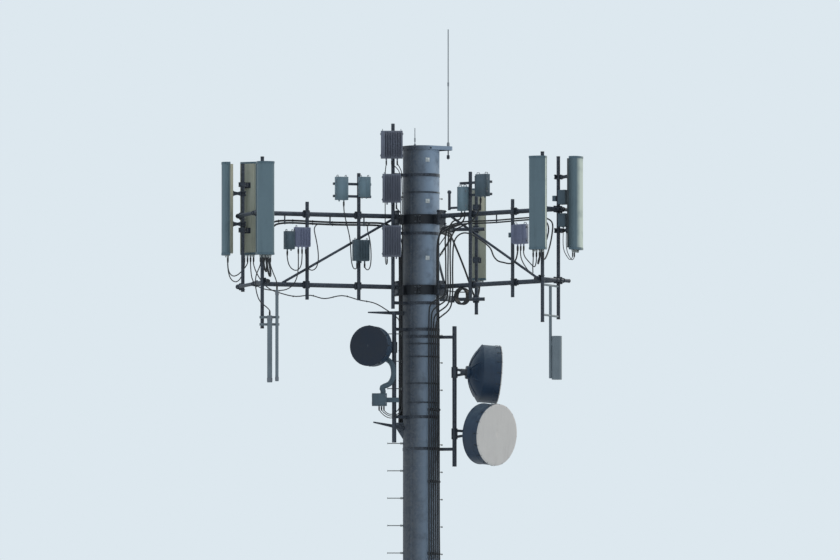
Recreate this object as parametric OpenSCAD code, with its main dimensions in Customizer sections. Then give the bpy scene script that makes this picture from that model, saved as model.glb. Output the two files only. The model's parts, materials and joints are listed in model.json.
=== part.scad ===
// Stepped tube monopole with a three-boom antenna array and shrouded microwave dishes.
// Origin at the centre of the base plate's underside, +Z up, millimetres.
// Azimuths are degrees from +X, turning from +X to +Y.

/* [Pole] */
// Height of the pole's top edge above the ground
pole_h = 24400; // [21000:100:30000]
// Outside diameter of the base section
base_d = 914; // [840:2:980]
// Outside diameter of the middle section
middle_d = 762; // [700:2:820]
// Outside diameter of the top section
top_d = 610; // [560:2:660]
// Wall of the base section
base_wall = 12; // [8:1:20]
// Wall of the middle section
middle_wall = 10; // [8:1:20]
// Wall of the top section
top_wall = 9; // [6:1:16]
// Height of the joint between the base and middle sections
middle_z = 9200; // [6000:100:10500]
// Height of the joint between the middle and top sections
top_z = 16400; // [13000:100:16800]
// Height of each cone between two sections
cone_h = 450; // [300:10:800]
// Thickness of the joint flanges
flange_t = 40; // [25:1:60]
// How far the joint flanges stand out from the tube
flange_lip = 85; // [60:1:110]
// Number of stiffeners on each joint flange
stiffener_n = 12; // [8:1:16]
// Height of the stiffeners
stiffener_h = 260; // [150:10:400]
// Thickness of the stiffeners
stiffener_t = 14; // [8:1:25]

/* [Base plate] */
// Outside diameter of the base plate
plate_d = 1300; // [1240:10:1500]
// Thickness of the base plate
plate_t = 60; // [40:1:80]
// Number of anchor holes
anchor_n = 12; // [8:1:16]
// Circle of the anchor holes
anchor_circle_d = 1120; // [1100:10:1160]
// Diameter of an anchor hole
anchor_hole_d = 45; // [30:1:60]

/* [Top] */
// Clearance between the cap's skirt and the pole
cap_gap = 6; // [3:1:12]
// Thickness of the cap
cap_t = 10; // [5:1:20]
// Height of the cap's skirt
cap_skirt_h = 55; // [30:1:90]
// Distance of the lightning rod from the pole's axis
rod_x = 450; // [420:5:520]
// Length of the lightning rod above the cap
rod_l = 1960; // [1000:10:2600]
// Diameter of the lightning rod
rod_d = 18; // [12:1:25]
// Length of the short spike
spike_l = 310; // [200:10:500]

/* [Booms] */
// Azimuth of the left boom
left_a = 200; // [190:1:210]
// Azimuth of the right boom
right_a = 320; // [312:1:328]
// Azimuth of the rear boom
rear_a = 80; // [70:1:90]
// Distance of the face frames from the pole's axis
boom_reach = 2950; // [2700:10:3200]
// Depth of the upper rails below the pole's top
upper_drop = 1170; // [1000:10:1300]
// Depth of the lower rails below the pole's top
lower_drop = 2350; // [2200:10:2500]
// Diameter of the boom rails
rail_d = 76; // [60:1:90]
// Diameter of the diagonal brace
brace_d = 42; // [30:1:60]
// Height of a collar ring
collar_h = 160; // [120:5:220]
// Thickness of a collar ring
collar_t = 22; // [12:1:30]
// Depth of a collar ring's middle below its rails
collar_offset = 50; // [20:1:70]
// Distance of the boom's mounting plate from the pole's wall
bracket_l = 120; // [90:5:160]
// Clearance between pieces that are clamped together
seat = 0.3; // [0.2:0.1:0.5]

/* [Face frames] */
// Diameter of the face pipes
face_d = 60; // [48:1:76]
// Diameter of the vertical antenna pipes
mast_d = 60; // [48:1:76]
// Thickness of the clamp plates
clamp_t = 12; // [8:1:20]
// Side of the square clamp plates
clamp_w = 110; // [100:5:115]

/* [Antennas] */
// Width of a panel antenna
panel_w = 280; // [250:1:310]
// Depth of a panel antenna
panel_t = 190; // [150:1:195]
// Length of a panel antenna
panel_l = 1550; // [1300:10:1700]
// Distance from an antenna pipe's axis to the back of its panel
panel_reach = 155; // [140:1:175]

/* [Radios] */
// Diameter of the radio pipes
radio_pipe_d = 60; // [48:1:76]
// Width of the radios in the stack beside the pole
stack_w = 310; // [250:5:340]
// Depth of the radios in the stack
stack_t = 170; // [120:5:190]

/* [Dishes] */
// Diameter of the left dish
left_dish_d = 660; // [580:10:700]
// Diameter of the upper right dish
upper_dish_d = 960; // [850:10:980]
// Diameter of the lower right dish
lower_dish_d = 1010; // [950:5:1040]
// Diameter of the pipes that hold the dishes
dish_pipe_d = 73; // [60:1:90]

/* [Climbing pegs] */
// Spacing of the pegs on one side
peg_pitch = 457; // [380:1:500]
// Length of a peg
peg_l = 260; // [180:5:300]
// Diameter of a peg
peg_d = 16; // [12:1:22]
// Height of the lowest peg
peg_start = 3000; // [2500:50:4000]

/* [Feeder cables] */
// Number of feeder cables
feeder_n = 6; // [3:1:7]
// Diameter of a feeder cable
feeder_d = 28; // [20:1:32]
// Distance of the cables' middles from the pole's wall
feeder_off = 55; // [52:1:70]

/* [Hidden] */
$fn = 64;

base_r = base_d / 2;
middle_r = middle_d / 2;
top_r = top_d / 2;
rail_r = rail_d / 2;
face_r = face_d / 2;
mast_r = mast_d / 2;
upper_z = pole_h - upper_drop;
lower_z = pole_h - lower_drop;
collar_r = top_r + seat;
collar_out_r = collar_r + collar_t;
bracket_r = top_r + bracket_l;
bracket_w = 190;
bracket_h = 250;
bracket_t = 14;
boom_start = bracket_r + bracket_t + seat;
boom_end = boom_reach - face_r - seat;
mast_off = face_r + clamp_t + mast_r + 2 * seat;
side_off = rail_r + clamp_t + radio_pipe_d / 2 + 2 * seat;
band_h = 50;
// Ends of the braces along the booms
left_brace = [470, 2455];
right_brace = [665, 2560];
band_t = 6;
band_r = top_r + seat;
feeder_first_a = 291;
feeder_step_a = 7;
feeder_top = pole_h - 2620;
feeder_foot = plate_t + 40;
guard_foot = plate_t + stiffener_h + 40;
guard_h = 2700;
hanger_pitch = 1200;
strap_drops = [770, 3300, 3514, 3960, 4280];
stack_arm_drops = [480, 1455, 2620];
left_arm_drops = [3060, 4520];
right_arm_drops = [3180, 5050];
// Depths of the top and bottom of the pipes beside the pole
stack_span = [-370, 2720];
left_pipe_span = [2780, 4950];
right_pipe_span = [3000, 5340];

// Antenna pipes of each sector: side of the face pipe (1 outside, -1 inside), place along it,
// depth of the top and of the bottom below the pole's top
left_masts = [[-1, -780, 300, 2430], [1, 600, 280, 3130]];
right_masts = [[1, -482, 250, 3070], [-1, 107, 290, 2990]];
rear_masts = [[1, -410, 270, 2600], [1, 620, 270, 2600]];
// Ends of each face pipe
left_face = [-835, 700];
right_face = [-580, 300];
rear_face = [-560, 770];
// Panels of each sector: index of the pipe, azimuth it faces, depth of its top, distance of its
// brackets from its ends, length added to its arms
left_panels = [[0, 182, 273, 520, 10], [0, 65, 250, 395, 0], [1, 283, 375, 330, 0]];
right_panels = [[0, 252, 338, 330, 0], [1, 329, 300, 330, 85]];
rear_panels = [[0, 85, 460, 330, 0], [1, 75, 460, 330, 0]];
// Radio pipes on each boom: distance from the pole's axis, depth of the top and of the bottom
radio_pipes = [[1135, 470, 2590], [2048, 970, 2600]];
// Side of the boom that the radio pipes are on
left_side = 1;
right_side = -1;
rear_side = 1;

// Cables: trunks, jumpers, the distance of the risers from the pole's axis and the clips on the rails
trunk_d = 36;
jumper_d = 22;
riser_r = top_r + 60;
clip_plate_t = 5;
clip_w = 24;
clip_foot = 175;
clip_places = [1000, 1600, 2400];
trunk_y = rail_r + 8 + trunk_d / 2;
feeder_y = rail_r + 8 + feeder_d / 2;
// Hoods where risers go into the pole: azimuth and depth of the top
left_hood = [160, 4600];
rear_hood = [106, 2680];
hood_t = 120;

stack_pos = [-470, -300];
left_pipe_pos = [-450, -300];
right_pipe_pos = [555, -100];

module tube(h, d, wall) {
    difference() {
        cylinder(h = h, d = d);
        translate([0, 0, -1]) cylinder(h = h + 2, d = d - 2 * wall);
    }
}

module bar(p, q, d) {
    v = q - p;
    translate(p)
        rotate([0, acos(v[2] / norm(v)), atan2(v[1], v[0])])
            cylinder(h = norm(v), d = d);
}

module stiffeners(r, z, w, h, n) {
    for (i = [0 : n - 1])
        rotate([0, 0, (i + 0.5) * 360 / n])
            translate([r, stiffener_t / 2, z])
                rotate([90, 0, 0])
                    linear_extrude(height = stiffener_t)
                        polygon([[0, 0], [w, 0], [w, 30], [22, h], [0, h]]);
}

// A turned tube section from its foot up: tube, cone to the next size and its flange
module section(z0, z1, r, wall, foot, next_r) {
    cone_z = z1 - flange_t - cone_h;
    rotate_extrude($fn = 96)
        polygon(concat(foot, [
            [r, cone_z], [next_r, z1 - flange_t], [next_r + flange_lip, z1 - flange_t],
            [next_r + flange_lip, z1], [next_r - wall, z1], [next_r - wall, z1 - flange_t],
            [r - wall, cone_z]
        ]));
}

function plain_foot(z, r, wall) = [[r - wall, z], [r, z]];
function flange_foot(z, r, wall) = [
    [r - wall, z], [r + flange_lip, z], [r + flange_lip, z + flange_t], [r, z + flange_t]
];

// The plate on the anchors, with upright stiffeners between the anchor holes
module base_plate() {
    color("darkgray") {
        difference() {
            cylinder(h = plate_t, d = plate_d, $fn = 96);
            for (i = [0 : anchor_n - 1])
                rotate([0, 0, i * 360 / anchor_n])
                    translate([anchor_circle_d / 2, 0, -1])
                        cylinder(h = plate_t + 2, d = anchor_hole_d);
        }
        stiffeners(base_r + seat, plate_t - 1, (plate_d - base_d) / 2 - 40, stiffener_h, anchor_n);
    }
}

module pole_base_section() {
    color("slategray")
        section(plate_t, middle_z, base_r, base_wall, plain_foot(plate_t, base_r, base_wall), middle_r);
}

module pole_middle_section() {
    color("slategray") {
        section(middle_z, top_z, middle_r, middle_wall, flange_foot(middle_z, middle_r, middle_wall), top_r);
        stiffeners(middle_r - 4, middle_z + flange_t, flange_lip - 4, stiffener_h, stiffener_n);
    }
}

module pole_top_section() {
    color("slategray") {
        rotate_extrude($fn = 96)
            polygon(concat(flange_foot(top_z, top_r, top_wall), [[top_r, pole_h], [top_r - top_wall, pole_h]]));
        stiffeners(top_r - 4, top_z + flange_t, flange_lip - 4, stiffener_h, stiffener_n);
    }
}

function arc(c, r, a0, a1, n) = [for (i = [0 : n]) let (a = a0 + (a1 - a0) * i / n) c + r * [cos(a), sin(a)]];

// Outline of the cap: a round lid with a tongue that carries the lightning rod
module cap_outline(grow) {
    r = top_r + cap_gap + grow;
    tip_r = 60 + grow;
    t = acos((r - tip_r) / rod_x);
    polygon(concat(arc([0, 0], r, t, 360 - t, 60), arc([rod_x, 0], tip_r, -t, t, 12)));
}

module top_cap() {
    color("slategray") {
        translate([0, 0, pole_h])
            linear_extrude(height = cap_t) cap_outline(cap_t);
        translate([0, 0, pole_h - cap_skirt_h])
            linear_extrude(height = cap_skirt_h + 1)
                difference() {
                    cap_outline(cap_t);
                    cap_outline(0);
                }
    }
}

module lightning_rods() {
    color("gray") {
        translate([rod_x, 0, pole_h + cap_t]) {
            cylinder(h = 50, d = 46);
            cylinder(h = rod_l, d = rod_d);
        }
        translate([-105, 0, pole_h + cap_t]) {
            cylinder(h = 30, d = 36);
            cylinder(h = spike_l, d = 14);
        }
    }
}

function section_r(z) = z < middle_z ? base_r : z < top_z ? middle_r : top_r;
function near(z, marks, gap) = len([for (m = marks) if (abs(z - m) < gap) m]) > 0;
peg_keep_out = [
    middle_z, middle_z - cone_h / 2, middle_z + stiffener_h / 2,
    top_z, top_z - cone_h / 2, top_z + stiffener_h / 2,
    upper_z - collar_offset, lower_z - collar_offset
];
band_marks = [for (d = concat(strap_drops, stack_arm_drops, left_arm_drops, right_arm_drops)) pole_h - d];

module step_pegs() {
    color("dimgray")
        for (side = [180, 52], z = [peg_start : peg_pitch : pole_h - 500])
            if (!near(z, peg_keep_out, 240) && !near(z, band_marks, 45))
                rotate([0, 0, side])
                    translate([section_r(z) + seat, 0, z])
                        rotate([0, 90, 0]) {
                            cylinder(h = peg_l, d = peg_d, $fn = 32);
                            cylinder(h = 14, d = peg_d * 1.8, $fn = 6);
                            translate([0, 0, peg_l - 8]) cylinder(h = 8, d = peg_d * 1.8, $fn = 32);
                        }
}

function feeder_a(i) = feeder_first_a + feeder_step_a * i;

module feeder_cables() {
    r1 = base_r + feeder_off;
    r2 = middle_r + feeder_off;
    r3 = top_r + feeder_off;
    color("black")
        for (i = [0 : feeder_n - 1])
            rotate([0, 0, feeder_a(i)])
                sweep(concat([
                    [r1, 0, feeder_foot], [r1, 0, middle_z + 500], [r1 - 15, 0, middle_z + 640],
                    [r2 + 15, 0, middle_z + 960], [r2, 0, middle_z + 1100],
                    [r2, 0, top_z + 500], [r2 - 15, 0, top_z + 640],
                    [r3 + 15, 0, top_z + 960], [r3, 0, top_z + 1100]
                ], tail(feeder_tail(i), smooth(feeder_tail(i), 2), feeder_d)), feeder_d);
}

// The last stretch of a feeder, from the right boom's frame into its own
function feeder_tail(i) = [
    for (q = concat([at_pole(right_a, feeder_a(i), 3600, top_r + feeder_off)], feeder_tails[min(i, 5)]))
        to_z(turn(right_a - feeder_a(i), q))
];

function unit(v) = v / norm(v);
function heading(p, i) = unit(p[min(i + 1, len(p) - 1)] - p[max(i - 1, 0)]);

// Curve through a list of points, with n steps from each point to the next
function bend(p, i, t) =
    let (l = norm(p[i + 1] - p[i]), a = heading(p, i) * l, b = heading(p, i + 1) * l)
        (2 * t * t * t - 3 * t * t + 1) * p[i] + (t * t * t - 2 * t * t + t) * a
        + (3 * t * t - 2 * t * t * t) * p[i + 1] + (t * t * t - t * t) * b;
function smooth(p, n) =
    concat([for (i = [0 : len(p) - 2], k = [0 : n - 1]) bend(p, i, k / n)], [p[len(p) - 1]]);

// Places on a route are [along the boom, across it, depth below the pole's top]
function turn(a, q) = [q[0] * cos(a) - q[1] * sin(a), q[0] * sin(a) + q[1] * cos(a), q[2]];
function to_z(q) = [q[0], q[1], pole_h - q[2]];
function at_pole(sector_a, a, drop, r = riser_r) = [r * cos(a - sector_a), r * sin(a - sector_a), drop];

// The same curve with short straight ends, so that the end faces lie flat on what they meet
function stub(p, q, d, s) = p + unit(q - p) * min(d / 3, norm(s - p) / 2);
function tail(p, s, d) =
    let (e = p[len(p) - 1], m = len(s) - 2)
        concat([for (i = [0 : m]) s[i]], [stub(e, p[len(p) - 2], d, s[m]), e]);
function both_ends(p, s, d) = concat([p[0], stub(p[0], p[1], d, s[1])], [for (i = [1 : len(s) - 1]) s[i]]);

module cable(route, d, n = 2, sides = 8) {
    p = [for (q = route) to_z(q)];
    sweep(both_ends(p, tail(p, smooth(p, n), d), d), d, sides);
}

// Tube along a list of points, with rings carried from point to point without twist
function square_to(u, t) = unit(u - (u * t) * t);
function side_dirs(p, i, u) =
    i == len(p) ? [] : let (n = square_to(u, heading(p, i))) concat([n], side_dirs(p, i + 1, n));
function start_dir(t) = abs(t[2]) < 0.9 ? [0, 0, 1] : [1, 0, 0];

module sweep(p, d, sides = 8) {
    n = side_dirs(p, 0, start_dir(heading(p, 0)));
    last = len(p) - 1;
    rings = [
        for (i = [0 : last], k = [0 : sides - 1])
            let (a = k * 360 / sides, t = heading(p, i))
                p[i] + d / 2 * (cos(a) * n[i] + sin(a) * cross(t, n[i]))
    ];
    skin = [
        for (i = [0 : last - 1], k = [0 : sides - 1])
            let (a = i * sides + k, b = i * sides + (k + 1) % sides)
                [a, a + sides, b + sides, b]
    ];
    first_end = [[for (k = [0 : sides - 1]) k]];
    last_end = [[for (k = [sides - 1 : -1 : 0]) last * sides + k]];
    polyhedron(points = rings, faces = concat(skin, first_end, last_end));
}

module cable_hangers() {
    color("dimgray")
        for (z = [guard_h + 500 : hanger_pitch : feeder_top - 200])
            if (!near(z, peg_keep_out, 400) && !near(z, band_marks, 60))
                hanger(z);
    color("dimgray")
        for (b = [[left_a, -left_side], [right_a, -right_side], [rear_a, -rear_side]], x = clip_places)
            rotate([0, 0, b[0]])
                translate([x - clip_w / 2, b[1] > 0 ? rail_r + seat : -rail_r - seat - clip_plate_t, upper_z - clip_foot])
                    cube([clip_w, clip_plate_t, clip_foot + 20]);
}

// A saddle behind the cables, on two feet on the pole
module hanger(z) {
    r = section_r(z);
    back_r = r + feeder_off - feeder_d / 2 - seat;
    a0 = feeder_a(0) - 3;
    a1 = feeder_a(feeder_n - 1) + 3;
    translate([0, 0, z - 20])
        rotate([0, 0, a0])
            rotate_extrude(angle = a1 - a0, $fn = 96)
                translate([back_r - 6, 0]) square([6, 40]);
    for (a = [a0 + 6, a1 - 6])
        rotate([0, 0, a])
            translate([0, -10, z - 20]) {
                difference() {
                    cube([back_r - 1, 20, 40]);
                    translate([0, 10, -1]) cylinder(h = 42, r = r + seat, $fn = 96);
                }
            }
}

// A steel trough over the foot of the cables
module cable_guard() {
    w = 2 * (base_r + feeder_off) * sin(feeder_step_a * feeder_n / 2 + 3) + 30;
    out_r = base_r + feeder_off + feeder_d / 2 + 14;
    wall = 5;
    color("slategray")
        rotate([0, 0, feeder_a((feeder_n - 1) / 2)])
            translate([0, 0, guard_foot])
                difference() {
                    translate([base_r - 90, -w / 2, 0]) cube([out_r - base_r + 90 + wall, w, guard_h - guard_foot]);
                    translate([base_r - 91, -w / 2 + wall, -1]) cube([out_r - base_r + 91, w - 2 * wall, guard_h + 2]);
                    translate([0, 0, -1]) cylinder(h = guard_h + 2, r = base_r + seat, $fn = 96);
                }
}

module band(drop, h) {
    translate([0, 0, pole_h - drop - h / 2])
        tube(h, 2 * (band_r + band_t), band_t, $fn = 96);
}

module band_straps() {
    color("dimgray")
        for (d = strap_drops)
            band(d, 25);
}

module collar(z) {
    split = 16;
    ear_l = 55;
    ear_t = 12;
    ring_z = z - collar_offset - collar_h / 2;
    angles = [left_a, right_a, rear_a];
    joints = [(left_a + right_a) / 2, (right_a + rear_a + 360) / 2, (rear_a + left_a) / 2];
    difference() {
        union() {
            translate([0, 0, ring_z]) cylinder(h = collar_h, r = collar_out_r, $fn = 96);
            for (a = joints)
                rotate([0, 0, a])
                    translate([collar_r, -split / 2 - ear_t, ring_z])
                        cube([collar_t + ear_l, split + 2 * ear_t, collar_h]);
            for (a = angles)
                rotate([0, 0, a]) {
                    translate([collar_r, -55, ring_z]) cube([bracket_l, 12, collar_h]);
                    translate([collar_r, 43, ring_z]) cube([bracket_l, 12, collar_h]);
                    translate([bracket_r - 2, -bracket_w / 2, z - bracket_h / 2 - 25])
                        cube([bracket_t + 2, bracket_w, bracket_h]);
                }
        }
        translate([0, 0, ring_z - 1]) cylinder(h = collar_h + 2, r = collar_r, $fn = 96);
        for (a = joints)
            rotate([0, 0, a])
                translate([collar_r - 10, -split / 2, ring_z - 1])
                    cube([collar_t + ear_l + 20, split, collar_h + 2]);
    }
}

module upper_collar() {
    color("darkslategray") collar(upper_z);
}

module lower_collar() {
    color("darkslategray") collar(lower_z);
}

module rail(z) {
    translate([boom_start, 0, z]) rotate([0, 90, 0]) cylinder(h = boom_end - boom_start, d = rail_d);
    translate([boom_start, -bracket_w / 2, z - bracket_h / 2 - 25]) cube([bracket_t, bracket_w, bracket_h]);
    translate([boom_end - clamp_t, -clamp_w / 2, z - clamp_w / 2]) cube([clamp_t, clamp_w, clamp_w]);
}

module boom(brace_span) {
    rail(upper_z);
    rail(lower_z);
    bar([brace_span[0], 0, upper_z - rail_r + 10], [brace_span[1], 0, lower_z + rail_r - 10], brace_d);
}

module left_boom() {
    color("darkslategray") rotate([0, 0, left_a]) boom(left_brace);
}

module right_boom() {
    color("darkslategray") rotate([0, 0, right_a]) boom(right_brace);
}

module rear_boom() {
    color("darkslategray") rotate([0, 0, rear_a]) boom(right_brace);
}

module face_frame(ends) {
    for (z = [upper_z, lower_z])
        translate([boom_reach, ends[0], z])
            rotate([-90, 0, 0]) cylinder(h = ends[1] - ends[0], d = face_d);
}

module left_face_frame() {
    color("darkslategray") rotate([0, 0, left_a]) face_frame(left_face);
}

module right_face_frame() {
    color("darkslategray") rotate([0, 0, right_a]) face_frame(right_face);
}

module rear_face_frame() {
    color("darkslategray") rotate([0, 0, rear_a]) face_frame(rear_face);
}

function mast_xy(m) = [boom_reach + m[0] * mast_off, m[1]];

module antenna_pipes(masts) {
    for (m = masts) {
        translate([mast_xy(m)[0], m[1], pole_h - m[3]]) cylinder(h = m[3] - m[2], d = mast_d);
        for (z = [upper_z, lower_z])
            translate([boom_reach + m[0] * (face_r + clamp_t / 2 + seat) - clamp_t / 2, m[1] - 50, z - 60])
                cube([clamp_t, 100, 120]);
    }
}

module left_antenna_pipes() {
    color("darkslategray") rotate([0, 0, left_a]) antenna_pipes(left_masts);
}

module right_antenna_pipes() {
    color("darkslategray") rotate([0, 0, right_a]) antenna_pipes(right_masts);
}

module rear_antenna_pipes() {
    color("darkslategray") rotate([0, 0, rear_a]) antenna_pipes(rear_masts);
}

// Panel antenna with its back on the YZ plane, facing +X: a bowed cover on a narrower back tray
tray_t = 45;
tray_in = 16;
cap_h = 35;
cap_lip = 4;
connector_ys = [-84, -28, 28, 84];
connector_d = 32;
connector_l = 45;

module cover_outline(grow) {
    bow = 34;
    corner = 22;
    hw = panel_w / 2 + grow;
    front = panel_t + grow;
    side = front - bow;
    r = (hw * hw + bow * bow) / (2 * bow);
    a = asin(hw / r) - 6;
    polygon(concat(
        [[tray_t, -hw], [side - corner, -hw]],
        arc([front - r, 0], r, -a, a, 16),
        [[side - corner, hw], [tray_t, hw]]
    ));
}

module panel() {
    tray_w = panel_w - 2 * tray_in;
    linear_extrude(height = panel_l) cover_outline(0);
    for (z = [0, panel_l - cap_h])
        translate([0, 0, z]) linear_extrude(height = cap_h) cover_outline(cap_lip);
    translate([0, -tray_w / 2, cap_h]) cube([tray_t + 1, tray_w, panel_l - 2 * cap_h]);
    for (y = connector_ys)
        translate([tray_t + 40, y, -connector_l]) cylinder(h = connector_l + 1, d = connector_d, $fn = 32);
}

// Moves a piece that faces +X from the sector's frame to a panel's place
module at_panel(sector_a, masts, p) {
    rotate([0, 0, sector_a])
        translate([mast_xy(masts[p[0]])[0], masts[p[0]][1], pole_h - p[2] - panel_l])
            rotate([0, 0, p[1] - sector_a]) children();
}

module antennas(sector_a, masts, panels) {
    for (p = panels)
        at_panel(sector_a, masts, p)
            translate([panel_reach + p[4], 0, 0]) panel();
}

// Two plates that clamp the pipe, two side arms and a foot against the back tray
module antenna_bracket(arm) {
    plate_t = 12;
    plate_w = 120;
    plate_h = 80;
    for (x = [mast_r + seat, -mast_r - seat - plate_t])
        translate([x, -plate_w / 2, -plate_h / 2]) cube([plate_t, plate_w, plate_h]);
    for (y = [-36, 28])
        translate([mast_r + seat, y, 0])
            rotate([-90, 0, 0])
                linear_extrude(height = 8)
                    polygon([[0, -35], [arm * 0.45, -22], [arm, -38], [arm, 38], [arm * 0.45, 22], [0, 35]]);
    translate([mast_r + seat + arm - 8, -70, -45]) cube([8, 140, 90]);
}

module antenna_brackets(sector_a, masts, panels) {
    for (p = panels)
        at_panel(sector_a, masts, p)
            for (z = [p[3], panel_l - p[3]])
                translate([0, 0, z]) antenna_bracket(panel_reach + p[4] - mast_r - 2 * seat);
}

module left_antennas() {
    color("slategray") antennas(left_a, left_masts, left_panels);
}

module right_antennas() {
    color("slategray") antennas(right_a, right_masts, right_panels);
}

module rear_antennas() {
    color("slategray") antennas(rear_a, rear_masts, rear_panels);
}

module left_antenna_brackets() {
    color("dimgray") antenna_brackets(left_a, left_masts, left_panels);
}

module right_antenna_brackets() {
    color("dimgray") antenna_brackets(right_a, right_masts, right_panels);
}

module rear_antenna_brackets() {
    color("dimgray") antenna_brackets(rear_a, rear_masts, rear_panels);
}

// Pole band and arm that hold a vertical pipe beside the pole
module standoff(pos, pipe_d, drop) {
    a = atan2(pos[1], pos[0]);
    reach = norm(pos);
    band(drop, band_h);
    rotate([0, 0, a])
        translate([0, -25, pole_h - drop - band_h / 2])
            difference() {
                cube([reach - pipe_d / 4, 50, band_h]);
                translate([0, 25, -1]) cylinder(h = band_h + 2, r = band_r + band_t / 2, $fn = 96);
            }
}

module side_pipe(pos, pipe_d, top, bottom, drops) {
    translate([pos[0], pos[1], pole_h - bottom]) cylinder(h = bottom - top, d = pipe_d);
    for (d = drops)
        standoff(pos, pipe_d, d);
}

module stack_pipe() {
    color("darkslategray") side_pipe(stack_pos, radio_pipe_d, stack_span[0], stack_span[1], stack_arm_drops);
}

module left_dish_pipe() {
    color("darkslategray") side_pipe(left_pipe_pos, dish_pipe_d, left_pipe_span[0], left_pipe_span[1], left_arm_drops);
}

module right_dish_pipe() {
    color("darkslategray") side_pipe(right_pipe_pos, dish_pipe_d, right_pipe_span[0], right_pipe_span[1], right_arm_drops);
}

// Finned radio box that hangs on the viewer's side of its pipe
module radio(w, t, h) {
    fins = floor((w - 30) / 28);
    cube([w, t * 0.62, h]);
    for (i = [0 : fins - 1])
        translate([15 + i * 28, t * 0.6, 12]) cube([8, t * 0.4, h - 24]);
    for (i = [0 : 2])
        translate([w * (0.25 + 0.25 * i), t * 0.3, -gland_l]) cylinder(h = gland_l + 5, d = 26, $fn = 32);
}

// Radios of the stack: depth of the top, width and height
stack_list = [[-240, 365, 460], [480, stack_w, 475], [1340, stack_w, 520]];

module stack_radios() {
    y = stack_pos[1] - radio_pipe_d / 2 - 30;
    color("dimgray")
        for (s = stack_list) {
            translate([stack_pos[0] - 20 + s[1] / 2, y, pole_h - s[0] - s[2]])
                rotate([0, 0, 180]) radio(s[1], stack_t, s[2]);
            for (z = [0.2, 0.75])
                translate([stack_pos[0] - 60, y - 1, pole_h - s[0] - s[2] + z * s[2]])
                    cube([120, 30 - seat + 1, 50]);
        }
}

module radio_mast(p, side) {
    y = side * side_off;
    translate([p[0], y, pole_h - p[2]]) cylinder(h = p[2] - p[1], d = radio_pipe_d);
    for (z = [upper_z, lower_z])
        translate([p[0] - 60, side * (rail_r + clamp_t / 2 + seat) - clamp_t / 2, z - 60])
            cube([120, clamp_t, 120]);
}

module radio_masts(side) {
    for (p = radio_pipes)
        radio_mast(p, side);
    for (drop = crossbar_drops)
        translate([radio_pipes[0][0] - 210, side * side_off - radio_pipe_d / 2, pole_h - drop - 20])
            cube([660, radio_pipe_d, 40]);
}

module left_radio_pipes() {
    color("darkslategray") rotate([0, 0, left_a]) radio_masts(left_side);
}

// Radio pipes with a short stem for the timing antenna on an arm towards the pole
module right_radio_pipes() {
    color("darkslategray")
        rotate([0, 0, right_a]) {
            radio_masts(right_side);
            y = right_side * side_off;
            translate([680, y, upper_z + 115])
                rotate([0, 90, 0]) cylinder(h = radio_pipes[0][0] - 680, d = 38);
            translate([680, y, upper_z + 80]) cylinder(h = 300, d = 45);
            translate([680, y, upper_z + 380]) sphere(d = 70);
        }
}

module rear_radio_pipes() {
    color("darkslategray") rotate([0, 0, rear_a]) radio_masts(rear_side);
}

// Boxes of one sector: place along the boom of the middle, depth of the top, width, depth, height
middle_box = [radio_pipes[0][0], 1590, 270, 150, 350];
left_outer_box = [radio_pipes[1][0] + 125, 1405, 262, 150, 325];
right_outer_box = [radio_pipes[1][0] + 257, 1405, 262, 150, 325];
splice_box = [radio_pipes[1][0] + 352, 1475, 165, 110, 300];
crossbar_drops = [655, 860];
box_gap = 25;
gland_l = 35;
small_gland_l = 25;
left_small_boxes = [[radio_pipes[0][0] - 70, 536, 190, 110, 335], [radio_pipes[0][0] + 333, 545, 205, 110, 385]];
right_small_boxes = [[radio_pipes[0][0] - 95, 720, 165, 110, 400], [radio_pipes[0][0] + 330, 530, 235, 110, 370]];

module sector_radios(side, outer_box, middle_boxes, small_boxes, splice_boxes) {
    face = side_off + radio_pipe_d / 2;
    mirror([0, side < 0 ? 1 : 0, 0]) {
        for (b = concat(middle_boxes, [outer_box]))
            translate([b[0] - b[2] / 2, face + box_gap, pole_h - b[1] - b[4]]) radio(b[2], b[3], b[4]);
        for (b = middle_boxes)
            translate([b[0] - 50, face + seat, pole_h - b[1] - b[4] / 2 - 60])
                cube([100, box_gap + 1 - seat, 120]);
        foot_end = max([for (b = concat([outer_box], splice_boxes)) b[0] + b[2] / 2 - 20]);
        translate([radio_pipes[1][0] - 45, face + seat, pole_h - outer_box[1] - outer_box[4] / 2 - 40])
            cube([foot_end - radio_pipes[1][0] + 45, box_gap + 1 - seat, 80]);
        for (b = splice_boxes)
            translate([b[0] - b[2] / 2, face + box_gap, pole_h - b[1] - b[4]]) small_radio(b[2], b[3], b[4]);
        for (b = small_boxes)
            translate([b[0] - b[2] / 2, face + seat, pole_h - b[1] - b[4]]) small_radio(b[2], b[3], b[4]);
    }
}

// Undersides of the glands, where cables start
function gland(side, b, k) = [
    b[0] + (k - 1) * b[2] / 4, side * (side_off + radio_pipe_d / 2 + box_gap + b[3] * 0.3),
    b[1] + b[4] + gland_l + seat
];
function small_gland(side, b, k, gap) = [
    b[0] + (k - 0.5) * b[2] * 0.4, side * (side_off + radio_pipe_d / 2 + gap + b[3] * 0.4),
    b[1] + b[4] + small_gland_l + seat
];
function stack_gland(s, k) = [
    stack_pos[0] - 20 - (k - 1) * s[1] / 4, stack_pos[1] - radio_pipe_d / 2 - 30 - stack_t * 0.3,
    s[0] + s[2] + gland_l + seat
];
function socket(sector_a, masts, p, k) =
    let (m = masts[p[0]], q = turn(p[1] - sector_a, [panel_reach + p[4] + tray_t + 40, connector_ys[k], 0]))
        [mast_xy(m)[0] + q[0], m[1] + q[1], p[2] + panel_l + connector_l + seat];
function below(q, h) = [q[0], q[1], q[2] + h];
function above(q, h) = [q[0], q[1], q[2] - h];

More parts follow.
